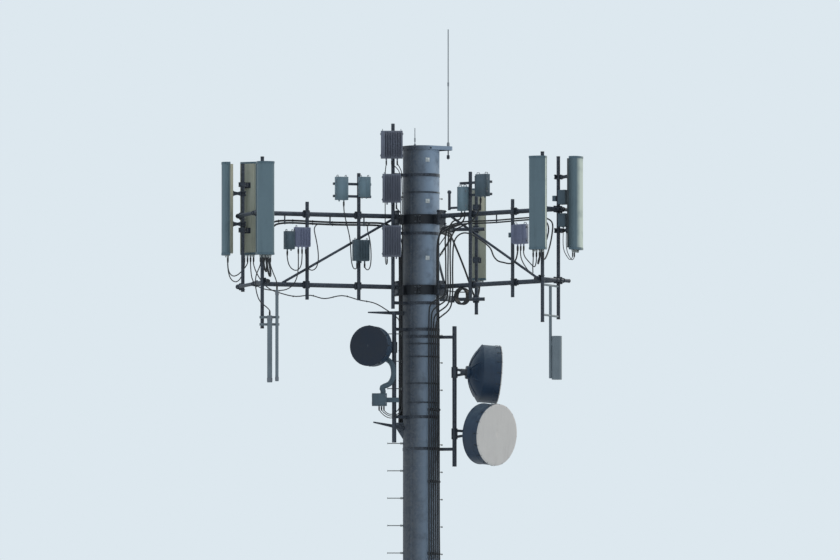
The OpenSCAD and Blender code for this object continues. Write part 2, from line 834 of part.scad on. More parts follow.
// Small box with a lid on its front and two glands below
module small_radio(w, t, h) {
    lid = 10;
    cube([w, t - lid, h]);
    translate([8, t - lid - 1, 8]) cube([w - 16, lid + 1, h - 16]);
    for (x = [0.3, 0.7])
        translate([w * x, t * 0.4, -small_gland_l]) cylinder(h = small_gland_l + 1, d = 24, $fn = 32);
}

module left_radios() {
    color("dimgray") rotate([0, 0, left_a]) sector_radios(left_side, left_outer_box, [middle_box], left_small_boxes, [splice_box]);
}

module right_radios() {
    color("dimgray") rotate([0, 0, right_a]) sector_radios(right_side, right_outer_box, [], right_small_boxes, []);
}

module rear_radios() {
    color("dimgray") rotate([0, 0, rear_a]) sector_radios(rear_side, left_outer_box, [middle_box], left_small_boxes, []);
}

// Hanging whip antennas under the left face frame
function lift(p, z) = [p[0], p[1], z];
function sector_xy(a, p) = [p[0] * cos(a) - p[1] * sin(a), p[0] * sin(a) + p[1] * cos(a)];
left_low_mast = sector_xy(left_a, mast_xy(left_masts[1]));
right_low_mast = sector_xy(right_a, mast_xy(right_masts[0]));
right_mid_mast = sector_xy(right_a, mast_xy(right_masts[1]));

// Whips: place beside the pipe, diameter, depth of the top and of the bottom
left_whip_list = [[125, 84, 2925, 4035], [245, 54, 2505, 4015]];
whip_back = mast_r + seat + 30;
function whip_xy(w) = left_low_mast + [w[0], -whip_back - seat - w[1] / 2];

module left_whips() {
    color("gray") {
        for (drop = [2950, 3070])
            translate([left_low_mast[0] - 45, left_low_mast[1] - whip_back, pole_h - drop - 20])
                cube([330, 30, 40]);
        for (w = left_whip_list)
            translate([whip_xy(w)[0], whip_xy(w)[1], pole_h - w[3]]) cylinder(h = w[3] - w[2], d = w[1]);
    }
}

module right_whip() {
    p = right_low_mast;
    q = right_mid_mast;
    mid = (p + q) / 2;
    link_end = unit(q - p) * (mast_r + seat);
    color("gray") {
        for (drop = [2450, 2950])
            bar(lift(p + link_end, pole_h - drop), lift(q - link_end, pole_h - drop), 36);
        translate([mid[0], mid[1], pole_h - 3990]) cylinder(h = 1530, d = 50);
        translate([mid[0] + 105, mid[1], pole_h - 4010]) cylinder(h = 720, d = 170);
        for (drop = [3420, 3880])
            translate([mid[0] - 10, mid[1] - 20, pole_h - drop - 20]) cube([60, 40, 40]);
    }
}

// Shrouded dish that looks along +Z, with the middle of its bowl at the origin
dish_back = 0.20;
dish_shroud = 0.31;
dish_t = 6;
hub_d = 220;
hub_t = 30;

function bowl(r, dish_r) = dish_back * 2 * dish_r * pow(r / dish_r, 2);

module dish_shell(d) {
    dr = d / 2;
    in_r = dr - dish_t;
    rim_z = bowl(dr, dr) + dish_shroud * d;
    outer = [for (i = [5 : 12]) let (r = dr * i / 12) [r, bowl(r, dr)]];
    inner = [for (i = [12 : -1 : 1]) let (r = in_r * i / 12) [r, bowl(r, dr) + dish_t]];
    hub_r = hub_d / 2;
    rotate_extrude($fn = 96)
        polygon(concat(
            [[0, -hub_t], [hub_r, -hub_t], [hub_r, bowl(hub_r, dr)]],
            outer, [[dr, rim_z], [in_r, rim_z]], inner, [[0, dish_t]]
        ));
}

module dish_cover(d) {
    dr = d / 2;
    z = bowl(dr, dr) + dish_shroud * d + seat;
    rotate_extrude($fn = 96)
        polygon([[0, z], [dr + 8, z], [dr + 8, z + 12], [dr - 20, z + 18], [0, z + 30]]);
}

// Clamp on the pipe, arm and plate that hold a dish by its hub
module dish_mount(pipe, hub, a, down) {
    clamp_h = 180;
    clamp_r = dish_pipe_d / 2 + 16;
    back = [hub[0] - 80 * cos(a), hub[1] - 80 * sin(a), hub[2]];
    difference() {
        union() {
            translate([pipe[0], pipe[1], hub[2] - clamp_h / 2]) cylinder(h = clamp_h, r = clamp_r);
            for (dz = [-55, 55])
                bar([pipe[0], pipe[1], hub[2] + dz], back + [0, 0, dz * 0.5], 44);
            aim(hub, a, down) {
                translate([0, 0, -hub_t - seat - 14]) cylinder(h = 14, d = hub_d - 10);
                translate([0, 0, -hub_t - 100]) cylinder(h = 90, d = 110);
            }
        }
        translate([pipe[0], pipe[1], hub[2] - clamp_h]) cylinder(h = 2 * clamp_h, r = dish_pipe_d / 2 + seat);
    }
}

// Turns a dish that looks along +Z to an azimuth and a tilt below level, with its hub at a place
module aim(pos, a, down) {
    translate(pos) rotate([0, 90 + down, a]) children();
}

left_hub = [-738, -400, pole_h - 3365];
upper_hub = [785, -68, pole_h - 3770];
lower_hub = [857, -370, pole_h - 4795];
left_aim = [247, 0];
upper_aim = [8, 4];
lower_aim = [320, 6];

module left_dish_mount() {
    color("dimgray") dish_mount(left_pipe_pos, left_hub, left_aim[0], left_aim[1]);
}

module upper_dish_mount() {
    color("dimgray") dish_mount(right_pipe_pos, upper_hub, upper_aim[0], upper_aim[1]);
}

module lower_dish_mount() {
    color("dimgray") dish_mount(right_pipe_pos, lower_hub, lower_aim[0], lower_aim[1]);
}

module left_dish() {
    color("midnightblue") aim(left_hub, left_aim[0], left_aim[1]) dish_shell(left_dish_d);
}

module upper_dish() {
    color("midnightblue") aim(upper_hub, upper_aim[0], upper_aim[1]) dish_shell(upper_dish_d);
}

module lower_dish() {
    color("midnightblue") aim(lower_hub, lower_aim[0], lower_aim[1]) dish_shell(lower_dish_d);
}

module left_dish_cover() {
    color("darkslateblue") aim(left_hub, left_aim[0], left_aim[1]) dish_cover(left_dish_d);
}

module upper_dish_cover() {
    color("lightgray") aim(upper_hub, upper_aim[0], upper_aim[1]) dish_cover(upper_dish_d);
}

module lower_dish_cover() {
    color("lightgray") aim(lower_hub, lower_aim[0], lower_aim[1]) dish_cover(lower_dish_d);
}

// Routes of the feeders above the lower collar, in the right boom's frame
right_outer_glands = [for (k = [0 : 2]) gland(right_side, right_outer_box, k)];
right_small_glands = [
    small_gland(right_side, right_small_boxes[0], 0, seat), small_gland(right_side, right_small_boxes[1], 0, seat),
    small_gland(right_side, right_small_boxes[0], 1, seat)
];
right_sockets = [for (k = [0 : 3]) socket(right_a, right_masts, right_panels[0], k)];
feeder_tails = [
    [[318, -176, 2760], [352, -170, 2640], [450, -135, 2575], [560, -98, 2530], [600, -82, 2400],
     [600, -80, 2150], [602, -82, 1850], [612, -110, 1580], [690, -155, 1430], [820, -188, 1370],
     [960, -200, 1350], [1060, -186, 1300], below(right_small_glands[2], 75), right_small_glands[2]],
    [[336, -136, 2840], [380, -130, 2730], [500, -105, 2655], [620, -85, 2580], [648, -80, 2400],
     [645, -80, 2150], [652, -80, 1850], [662, -84, 1500], [730, -110, 1330], [850, -145, 1270],
     [960, -157, 1265], below(right_small_glands[0], 60), right_small_glands[0]],
    [[349, -94, 2920], [400, -94, 2810], [540, -90, 2735], [670, -84, 2640], [698, -80, 2400],
     [701, -80, 2150], [696, -80, 1850], [720, -90, 1560], [860, -115, 1410], [1080, -125, 1350],
     [1280, -135, 1250], [1375, -150, 1120], below(right_small_glands[1], 70), right_small_glands[1]],
    [[357, -51, 3000], [420, -62, 2890], [580, -76, 2810], [720, -82, 2700], [752, -80, 2400],
     [748, -80, 2150], [756, -82, 1850], [800, -98, 1600], [980, -130, 1490], [1200, -160, 1510],
     [1450, -160, 1640], [1640, -160, 1770], [1690, -160, 1890], [1790, -160, 1990], [1920, -165, 2020],
     [2070, -175, 2050], [2190, -180, 2010], below(right_outer_glands[0], 90), right_outer_glands[0]],
    [[359, -12, 2860], [358, -20, 2640], [358, -20, 2200], [360, -20, 1750], [385, -16, 1520],
     [480, 4, 1430], [620, 38, 1380], [800, feeder_y, 1328], [960, feeder_y, 1317],
     [1500, feeder_y, 1330], [2100, feeder_y, 1317], [2600, feeder_y, 1330], [2750, 10, 1450],
     [2850, -150, 1650], [2915, -340, 1850], [2985, -540, 2040], [3070, -655, 2130],
     below(right_sockets[2], 110), right_sockets[2]],
    [[358, 30, 2860], [358, 18, 2640], [358, 18, 2200], [360, 18, 1700], [385, 22, 1450],
     [480, 40, 1375], [620, feeder_y - 4, 1320], [800, feeder_y, 1292], [960, feeder_y, 1281],
     [1500, feeder_y, 1294], [2100, feeder_y, 1281], [2600, feeder_y, 1293], [2800, 40, 1370],
     [2920, -100, 1540], [3020, -260, 1720], [3110, -430, 1890], [3180, -600, 2040],
     below(right_sockets[3], 110), right_sockets[3]]
];

// A pole-side housing with a sloped foot, where cables go into the pole from above
module hood(a, drop) {
    w = 250;
    rotate([0, 0, a])
        difference() {
            translate([0, w / 2, pole_h - drop])
                rotate([90, 0, 0])
                    linear_extrude(height = w)
                        polygon([[top_r - 60, 0], [top_r + hood_t, 0], [top_r + hood_t, -60], [top_r - 60, -330]]);
            translate([0, 0, pole_h - drop - 400]) cylinder(h = 500, r = top_r + seat, $fn = 96);
        }
}

module cable_hoods() {
    color("slategray") {
        hood(left_hood[0], left_hood[1]);
        hood(rear_hood[0], rear_hood[1]);
    }
}

function riser(sector_a, a, drops, r = riser_r) = [for (d = drops) at_pole(sector_a, a, d, r)];

// From the bundle under the upper rail to the first gland of the outer radio, with a loop below it
function outer_drop(g) = [
    [1780, -97, 1318], [1850, -84, 1365], [1885, -20, 1440], [1885, 80, 1600], [1878, 165, 1850],
    [1905, 185, 2040], [1985, 188, 2120], [2075, 186, 2080], below(g, 110), g
];

module left_cables() {
    middle_glands = [for (k = [0 : 2]) gland(left_side, middle_box, k)];
    outer_glands = [for (k = [0 : 2]) gland(left_side, left_outer_box, k)];
    splice_gland = small_gland(left_side, splice_box, 1, box_gap);
    small_glands = [for (b = left_small_boxes) small_gland(left_side, b, 0, seat)];
    a_ends = [for (k = [0 : 3]) socket(left_a, left_masts, left_panels[0], k)];
    b_ends = [for (k = [0 : 3]) socket(left_a, left_masts, left_panels[1], k)];
    c_ends = [for (k = [0 : 3]) socket(left_a, left_masts, left_panels[2], k)];
    whip_tops = [for (w = left_whip_list) let (q = whip_xy(w)) turn(-left_a, [q[0], q[1], w[2] - seat])];
    foot = left_hood[1] - seat;
    color("black")
        rotate([0, 0, left_a]) {
            // trunks
            cable(concat(riser(left_a, 163, [foot, 3700, 2800, 1950]), [
                [298, -208, 1560], [400, -152, 1385], [580, -84, 1296], [800, -trunk_y, 1281],
                [1500, -trunk_y, 1292], [2100, -trunk_y, 1279], [2560, -trunk_y, 1292],
                [2700, -40, 1390], [2800, 70, 1560], [2870, 260, 1760], [2905, 450, 1950],
                [2955, 640, 2150], [3030, 790, 2200], below(c_ends[1], 110), c_ends[1]
            ]), trunk_d);
            cable(concat(riser(left_a, 171, [foot, 3700, 2800, 1950]), [
                [345, -165, 1610], [440, -125, 1455], [600, -76, 1345], [800, -trunk_y, 1319],
                [1500, -trunk_y, 1331], [2100, -trunk_y, 1318], [2520, -trunk_y, 1331],
                [2640, -40, 1440], [2740, 70, 1620], [2810, 260, 1840], [2845, 450, 2050],
                [2890, 650, 2240], [2970, 800, 2270], below(c_ends[2], 120), c_ends[2]
            ]), trunk_d);
            // to the first glands of the two radios
            cable(concat(riser(left_a, 156, [foot, 3700, 2800, 1950]), [
                [268, -266, 1590], [385, -218, 1425], [590, -124, 1338], [800, -97, 1316], [1300, -97, 1320]
            ], outer_drop(outer_glands[0])), jumper_d, 2, 6);
            cable(concat(riser(left_a, 151, [foot, 3700, 2800, 1950]), [
                [236, -304, 1550], [370, -244, 1370], [590, -132, 1292], [760, -100, 1286],
                [880, -110, 1288], [903, -140, 1375], [905, -60, 1500], [925, 60, 1620], [950, 170, 1800],
                [966, 190, 2000], [1014, 190, 2090], below(middle_glands[0], 60), middle_glands[0]
            ]), jumper_d, 3, 6);
            // loops between boxes
            cable([splice_gland, below(splice_gland, 110), [2400, 205, 2060], [2300, 222, 2130],
                   [2205, 205, 2060], below(outer_glands[1], 120), outer_glands[1]], jumper_d, 3, 6);
            cable([small_glands[1], below(small_glands[1], 60), [1415, 145, 1150], [1360, 130, 1350],
                   [1310, 150, 1600], [1308, 180, 1880], [1280, 188, 2050], [1225, 184, 2080],
                   below(middle_glands[2], 50), middle_glands[2]], jumper_d, 2, 6);
            // from the panels
            cable([a_ends[1], below(a_ends[1], 150), [3050, -920, 2200], [2930, -960, 2260],
                   [2825, -990, 2160], below(b_ends[3], 130), b_ends[3]], jumper_d, 3, 6);
            cable([a_ends[2], below(a_ends[2], 110), [3090, -860, 2110], [2990, -900, 2170],
                   [2850, -935, 2090], below(b_ends[2], 100), b_ends[2]], jumper_d, 3, 6);
            cable([b_ends[1], below(b_ends[1], 130), [2705, -820, 2200], [2720, -560, 2330],
                   [2690, -300, 2410], [2560, -80, 2450], [2400, 70, 2440], [2290, 150, 2330],
                   [2242, 178, 2150], below(outer_glands[2], 130), outer_glands[2]], jumper_d, 2, 6);
            cable(concat([b_ends[0], below(b_ends[0], 140), [2600, -690, 2230], [2550, -400, 2400],
                          [2440, -120, 2490], [2200, -30, 2550], [1950, -20, 2510], [1700, -30, 2580],
                          [1400, -20, 2500], [1100, -30, 2580], [820, -70, 2610], [580, -190, 2700],
                          [390, -285, 2790], [285, -345, 2850]], riser(left_a, 146, [3010, 3700, foot])), jumper_d, 2, 6);
            cable([c_ends[0], below(c_ends[0], 120), [3205, 800, 2280], [3195, 775, 2500],
                   [3125, 765, 2690], [3010, 750, 2780], above(whip_tops[0], 80), whip_tops[0]], jumper_d, 3, 6);
            cable([c_ends[3], below(c_ends[3], 110), [2915, 845, 2230], [2850, 800, 2340],
                   above(whip_tops[1], 70), whip_tops[1]], jumper_d, 3, 6);
        }
}

module right_cables() {
    e_ends = [for (k = [0 : 3]) socket(right_a, right_masts, right_panels[1], k)];
    amp_ends = [for (k = [-1, 1]) amplifier_gland(k)];
    color("black")
        rotate([0, 0, right_a]) {
            cable([right_sockets[0], below(right_sockets[0], 120), [2960, -660, 2190], [2800, -460, 2260],
                   [2600, -290, 2230], [2430, -205, 2120], below(right_outer_glands[1], 190),
                   right_outer_glands[1]], jumper_d, 2, 6);
            cable([right_sockets[1], below(right_sockets[1], 80), [3010, -630, 2090], [2850, -470, 2150],
                   [2660, -310, 2110], [2490, -215, 2020], below(right_outer_glands[2], 150),
                   right_outer_glands[2]], jumper_d, 2, 6);
            for (k = [0, 1]) {
                e = e_ends[k];
                g = amp_ends[k];
                cable([e, below(e, 70), [(e[0] * 3 + g[0]) / 4, (e[1] * 3 + g[1]) / 4, e[2] + 125],
                       [(e[0] + g[0]) / 2, (e[1] + g[1]) / 2, e[2] + 90], [g[0], g[1], e[2] - 60],
                       below(g, 60), g], jumper_d * 0.7, 2, 6);
            }
        }
}

module rear_cables() {
    outer_glands = [for (k = [0 : 2]) gland(rear_side, left_outer_box, k)];
    middle_glands = [for (k = [0 : 2]) gland(rear_side, middle_box, k)];
    f_ends = [for (k = [0 : 3]) socket(rear_a, rear_masts, rear_panels[0], k)];
    g_ends = [for (k = [0 : 3]) socket(rear_a, rear_masts, rear_panels[1], k)];
    foot = rear_hood[1] - seat;
    color("black")
        rotate([0, 0, rear_a]) {
            cable(concat(riser(rear_a, 98, [foot, 2300, 1900]), [
                [365, 98, 1600], [460, 50, 1450], [580, -10, 1385], [700, -52, 1335], [860, -trunk_y, 1319],
                [1500, -trunk_y, 1331], [2100, -trunk_y, 1318], [2600, -trunk_y, 1336], [2760, -90, 1450],
                [2860, -180, 1700], [2900, -280, 1980], [2990, -340, 2200], [3120, -370, 2300],
                [3220, -400, 2280], below(f_ends[1], 110), f_ends[1]
            ]), trunk_d);
            cable(concat(riser(rear_a, 107, [foot, 2300, 1800]), [
                [352, 140, 1520], [440, 85, 1395], [580, 20, 1340], [720, -40, 1295], [880, -trunk_y, 1281],
                [1500, -trunk_y, 1292], [2100, -trunk_y, 1279], [2600, -trunk_y, 1288], [2780, 40, 1420],
                [2860, 220, 1660], [2900, 400, 1920], [2990, 520, 2170], [3120, 580, 2290],
                [3220, 610, 2270], below(g_ends[2], 110), g_ends[2]
            ]), trunk_d);
            cable(concat(riser(rear_a, 115, [foot, 2300, 1800]), [
                [330, 190, 1520], [430, 135, 1385], [570, 45, 1300], [720, -70, 1250], [880, -97, 1290],
                [1300, -97, 1310]
            ], outer_drop(outer_glands[0])), jumper_d, 2, 6);
            cable([f_ends[3], below(f_ends[3], 70), [3190, -270, 2200], [3000, -120, 2225],
                   [2780, 60, 2210], [2500, 160, 2180], [2300, 182, 2080],
                   below(outer_glands[2], 120), outer_glands[2]], jumper_d, 2, 6);
        }
}

// Cables from the stacked radios down beside the pole to the junction box, in the tower's own frame
stack_run = [[-318, -330], [-346, -330], [-311, -356]];
stack_order = [2, 0, 1];
junction_place = [-695, -395];
junction_size = [250, 150, 205];
junction_drop = 4140;

module stack_cables() {
    starts = [stack_gland(stack_list[0], 0), stack_gland(stack_list[0], 1), stack_gland(stack_list[1], 0)];
    under = junction_drop + junction_size[2];
    color("black") {
        for (k = [0 : 2]) {
            q = starts[k];
            r = stack_run[k];
            n = stack_order[k];
            e = [junction_place[0] + 75 - 40 * n, junction_place[1], under + seat];
            cable([q, below(q, 50), [(q[0] + r[0]) / 2, (q[1] + r[1]) / 2, q[2] + 110], [r[0], r[1], q[2] + 220],
                   [r[0], r[1], 1700], [r[0], r[1], 2600], [r[0], r[1], 3500], [r[0], r[1], 4250],
                   [r[0] - 20, r[1] - 12, 4380 + 30 * n], [r[0] - 90, r[1] - 45, 4460 + 30 * n],
                   [(r[0] + e[0]) / 2 - 40, r[1] - 60, 4490 + 30 * n], [e[0], e[1], under + 75], e], 18, 2, 6);
        }
        q = stack_gland(stack_list[0], 2);
        e = stack_gland(stack_list[2], 2);
        x = stack_pos[0] - 130;
        y = stack_pos[1] - 14;
        cable([q, below(q, 50), [(q[0] + x) / 2, (q[1] + y) / 2, q[2] + 110], [x, y, q[2] + 210], [x, y, 1000],
               [x, y, 1500], [x, y, e[2] - 60], [x + 10, y - 35, e[2] + 70], [e[0] - 8, e[1] + 10, e[2] + 95],
               below(e, 50), e], 18, 2, 6);
    }
}

// Spare cable wound in four turns under the right boom's lower rail
module cable_coil() {
    turns = 4;
    wire_d = feeder_d;
    coil_r = 130;
    hang = sqrt(pow(rail_r + wire_d / 2 + seat, 2) - pow((wire_d + seat) / 2, 2));
    color("saddlebrown")
        rotate([0, 0, right_a])
            for (i = [0 : turns - 1])
                translate([890, (i - (turns - 1) / 2) * (wire_d + seat), lower_z - hang - coil_r])
                    rotate([90, 0, 0])
                        rotate_extrude($fn = 48) translate([coil_r, 0]) circle(d = wire_d, $fn = 16);
}

// Two pointed arms clamped on the pole's left side
module left_arms() {
    color("dimgray")
        for (k = [[192, 2775, 600, 0], [196, 4700, 520, 90]])
            rotate([0, 0, k[0]])
                difference() {
                    translate([0, 25, pole_h - k[1]])
                        rotate([90, 0, 0])
                            linear_extrude(height = 50)
                                polygon([
                                    [top_r - 20, -40], [top_r + k[2], k[3] - 8],
                                    [top_r + k[2], k[3] + 12], [top_r - 20, 32]
                                ]);
                    translate([0, 0, pole_h - k[1] - 100]) cylinder(h = 200, r = top_r + seat, $fn = 96);
                }
}

module junction_box() {
    size = junction_size;
    pipe = left_pipe_pos;
    arm_y = pipe[1] - dish_pipe_d / 2 - seat;
    z = pole_h - junction_drop - size[2];
    color("dimgray") {
        translate([junction_place[0] - size[0] / 2, junction_place[1] - size[1] / 2, z]) cube(size);
        translate([junction_place[0] + size[0] / 2 - 1, arm_y - 30, z + 60]) cube([200, 30, 80]);
        translate([junction_place[0] - size[0] / 2 + 12, junction_place[1] - size[1] / 2 - 8, z + 12])
            cube([size[0] - 24, 9, size[2] - 24]);
    }
}

// Flexible duct from the left dish's mount to the junction box
module junction_duct() {
    x = junction_place[0] + 60;
    y = junction_place[1];
    color("slategray")
        cable([[-700, -310, 3422], [-700, -310, 3475], [-655, -330, 3545], [-570, -375, 3570],
               [-495, -408, 3640], [-460, -418, 3760], [-470, -414, 3880], [-530, -404, 3980],
               [x - 15, y - 3, 4040], [x, y, 4090], [x, y, junction_drop - seat]], 90, 3, 12);
}

amp_reach = 140;
amp_z = [[390, 610], [760, 1000]];
function amplifier_gland(k) =
    let (p = right_panels[1], m = right_masts[p[0]], q = turn(p[1] - right_a, [mast_r + seat + amp_reach - 45, 52 * k, 0]))
        [mast_xy(m)[0] + q[0], m[1] + q[1], p[2] + panel_l - amp_z[0][0] + small_gland_l + seat];

// Tower amplifiers on the pipe behind the right sector's second panel
module right_amplifiers() {
    color("dimgray")
        at_panel(right_a, right_masts, right_panels[1]) {
            for (z = amp_z)
                translate([mast_r + seat, -70, z[0]]) cube([amp_reach, 140, z[1] - z[0]]);
            translate([-mast_r - seat - 60, -45, amp_z[1][0] + 60]) cube([60, 90, 90]);
            for (y = [-52, 52])
                translate([mast_r + seat + amp_reach - 45, y, amp_z[0][0] - small_gland_l])
                    cylinder(h = small_gland_l + 1, d = 24, $fn = 32);
        }
}

base_plate();
pole_base_section();
pole_middle_section();
pole_top_section();
top_cap();
lightning_rods();
step_pegs();
feeder_cables();
cable_hangers();
cable_guard();
band_straps();
upper_collar();
lower_collar();
left_boom();
right_boom();
rear_boom();
left_face_frame();
right_face_frame();
rear_face_frame();
left_antenna_pipes();
right_antenna_pipes();
rear_antenna_pipes();
left_antennas();
right_antennas();
rear_antennas();
left_antenna_brackets();
right_antenna_brackets();
rear_antenna_brackets();
stack_pipe();
stack_radios();
left_radio_pipes();
right_radio_pipes();
rear_radio_pipes();
left_radios();
right_radios();
rear_radios();
left_whips();
right_whip();
left_dish_pipe();
right_dish_pipe();
left_dish_mount();
upper_dish_mount();
lower_dish_mount();
left_dish();
upper_dish();
lower_dish();
left_dish_cover();
upper_dish_cover();
lower_dish_cover();
left_cables();
right_cables();
rear_cables();
stack_cables();
cable_coil();
cable_hoods();
left_arms();
junction_box();
junction_duct();
right_amplifiers();
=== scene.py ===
"""Dresses the monopole cell tower: its finishes, fasteners, antenna shells, cables and small fittings.

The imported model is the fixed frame, in metres and +Z up. Azimuths are degrees from +X towards +Y.
"""

import functools
import json
import logging
import math
from dataclasses import dataclass, field, replace
from enum import Enum
from typing import Callable, Iterable, Sequence

import bmesh
import bpy
import numpy as np
from bmesh.types import BMEdge, BMesh, BMFace
from bpy.types import ID, Material, Mesh, Node, NodeSocket, Object, ShaderNodeTree
from mathutils import Matrix, Vector
from mathutils.geometry import convex_hull_2d


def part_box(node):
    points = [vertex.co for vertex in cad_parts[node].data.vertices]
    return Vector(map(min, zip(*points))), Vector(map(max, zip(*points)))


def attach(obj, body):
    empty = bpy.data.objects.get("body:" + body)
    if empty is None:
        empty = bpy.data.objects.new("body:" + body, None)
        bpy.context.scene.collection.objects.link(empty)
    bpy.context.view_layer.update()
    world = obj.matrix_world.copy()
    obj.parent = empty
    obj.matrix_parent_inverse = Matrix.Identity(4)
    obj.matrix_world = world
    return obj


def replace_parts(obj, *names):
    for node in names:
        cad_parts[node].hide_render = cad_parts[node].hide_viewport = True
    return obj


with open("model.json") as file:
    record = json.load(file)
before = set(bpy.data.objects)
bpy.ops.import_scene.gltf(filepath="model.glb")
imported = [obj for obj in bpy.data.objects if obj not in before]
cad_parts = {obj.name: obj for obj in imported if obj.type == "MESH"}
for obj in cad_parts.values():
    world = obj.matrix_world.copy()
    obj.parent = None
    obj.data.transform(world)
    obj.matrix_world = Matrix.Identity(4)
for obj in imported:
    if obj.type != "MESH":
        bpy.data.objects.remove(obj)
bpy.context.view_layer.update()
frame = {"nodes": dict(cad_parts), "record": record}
LOG = logging.getLogger("tower")
BODY = "root"
UP = Vector((0.0, 0.0, 1.0))

# Distances in metres under which points of the CAD meshes, and of the built ones, count as one.
MERGE = 2e-5
MERGE_BUILT = 1e-6
# Slack in metres when a face is looked for in a box, and how far a radio's glands reach below it.
TOUCH = 0.001
GLAND_REACH = 0.04
# Steps of a weld ring round the pole or a dish.
RING_STEPS = 72
# Bottom, top and radius of each pole section, and the depths of the booms' two rails below the pole's top.
SECTIONS = ((0.06, 9.2, 0.457), (9.2, 16.4, 0.381), (16.4, 24.4, 0.305))
RAIL_DROPS = (1.17, 2.35)


class Slot(Enum):
    """Material slots of the record."""

    POLE = "pole_steel"
    BASE = "base_steel"
    MOUNT = "mount_steel"
    STRAP = "strap_steel"
    ROD = "rod_metal"
    CABLE = "cable_jacket"
    ANTENNA = "antenna_shell"
    RADIO = "radio_housing"
    WHIP = "whip_shell"
    DISH = "dish_shell"
    COVER_LIGHT = "cover_light"
    COVER_DARK = "cover_dark"


def linear(code: str) -> tuple[float, float, float, float]:
    """Turns a colour as it shows into the linear values that shaders take.

    Args:
        code: The colour as "#RRGGBB".

    Returns:
        Linear red, green, blue and an alpha of 1.
    """
    parts = [int(code[i:i + 2], 16) / 255 for i in (1, 3, 5)]
    values = [p / 12.92 if p <= 0.04045 else ((p + 0.055) / 1.055) ** 2.4 for p in parts]
    return (values[0], values[1], values[2], 1.0)


def polar(radius: float, azimuth: float, z: float = 0.0) -> Vector:
    """Gives the point at a distance from the pole's axis, an azimuth in degrees and a height."""
    a = math.radians(azimuth)
    return Vector((radius * math.cos(a), radius * math.sin(a), z))


def written(bm: BMesh, name: str) -> Mesh:
    """Writes a built mesh into a new data block and frees it.

    Args:
        bm: The built mesh.
        name: The data block's name.

    Returns:
        The data block.
    """
    mesh = bpy.data.meshes.new(name)
    bm.to_mesh(mesh)
    bm.free()
    return mesh


def linked(name: str, data: ID) -> Object:
    """Puts data into the scene as a new object.

    Args:
        name: The object's name.
        data: Its mesh, curve, camera or lamp.

    Returns:
        The object.
    """
    made = bpy.data.objects.new(name, data)
    bpy.context.scene.collection.objects.link(made)
    return made


def evaluated(holder: Object) -> Mesh:
    """Gives an object's mesh with its modifiers or its bevel, and removes the object.

    Args:
        holder: The object.

    Returns:
        The mesh.
    """
    bpy.context.view_layer.update()
    mesh = bpy.data.meshes.new_from_object(holder.evaluated_get(bpy.context.evaluated_depsgraph_get()))
    bpy.data.objects.remove(holder)
    return mesh


def merged(node: str) -> BMesh:
    """Gives a copy of a CAD node's mesh with its faces joined to each other.

    Args:
        node: The CAD node.

    Returns:
        The copy, to be freed by the caller.
    """
    bm = bmesh.new()
    bm.from_mesh(frame["nodes"][node].data)
    bmesh.ops.remove_doubles(bm, verts=bm.verts, dist=MERGE)
    return bm


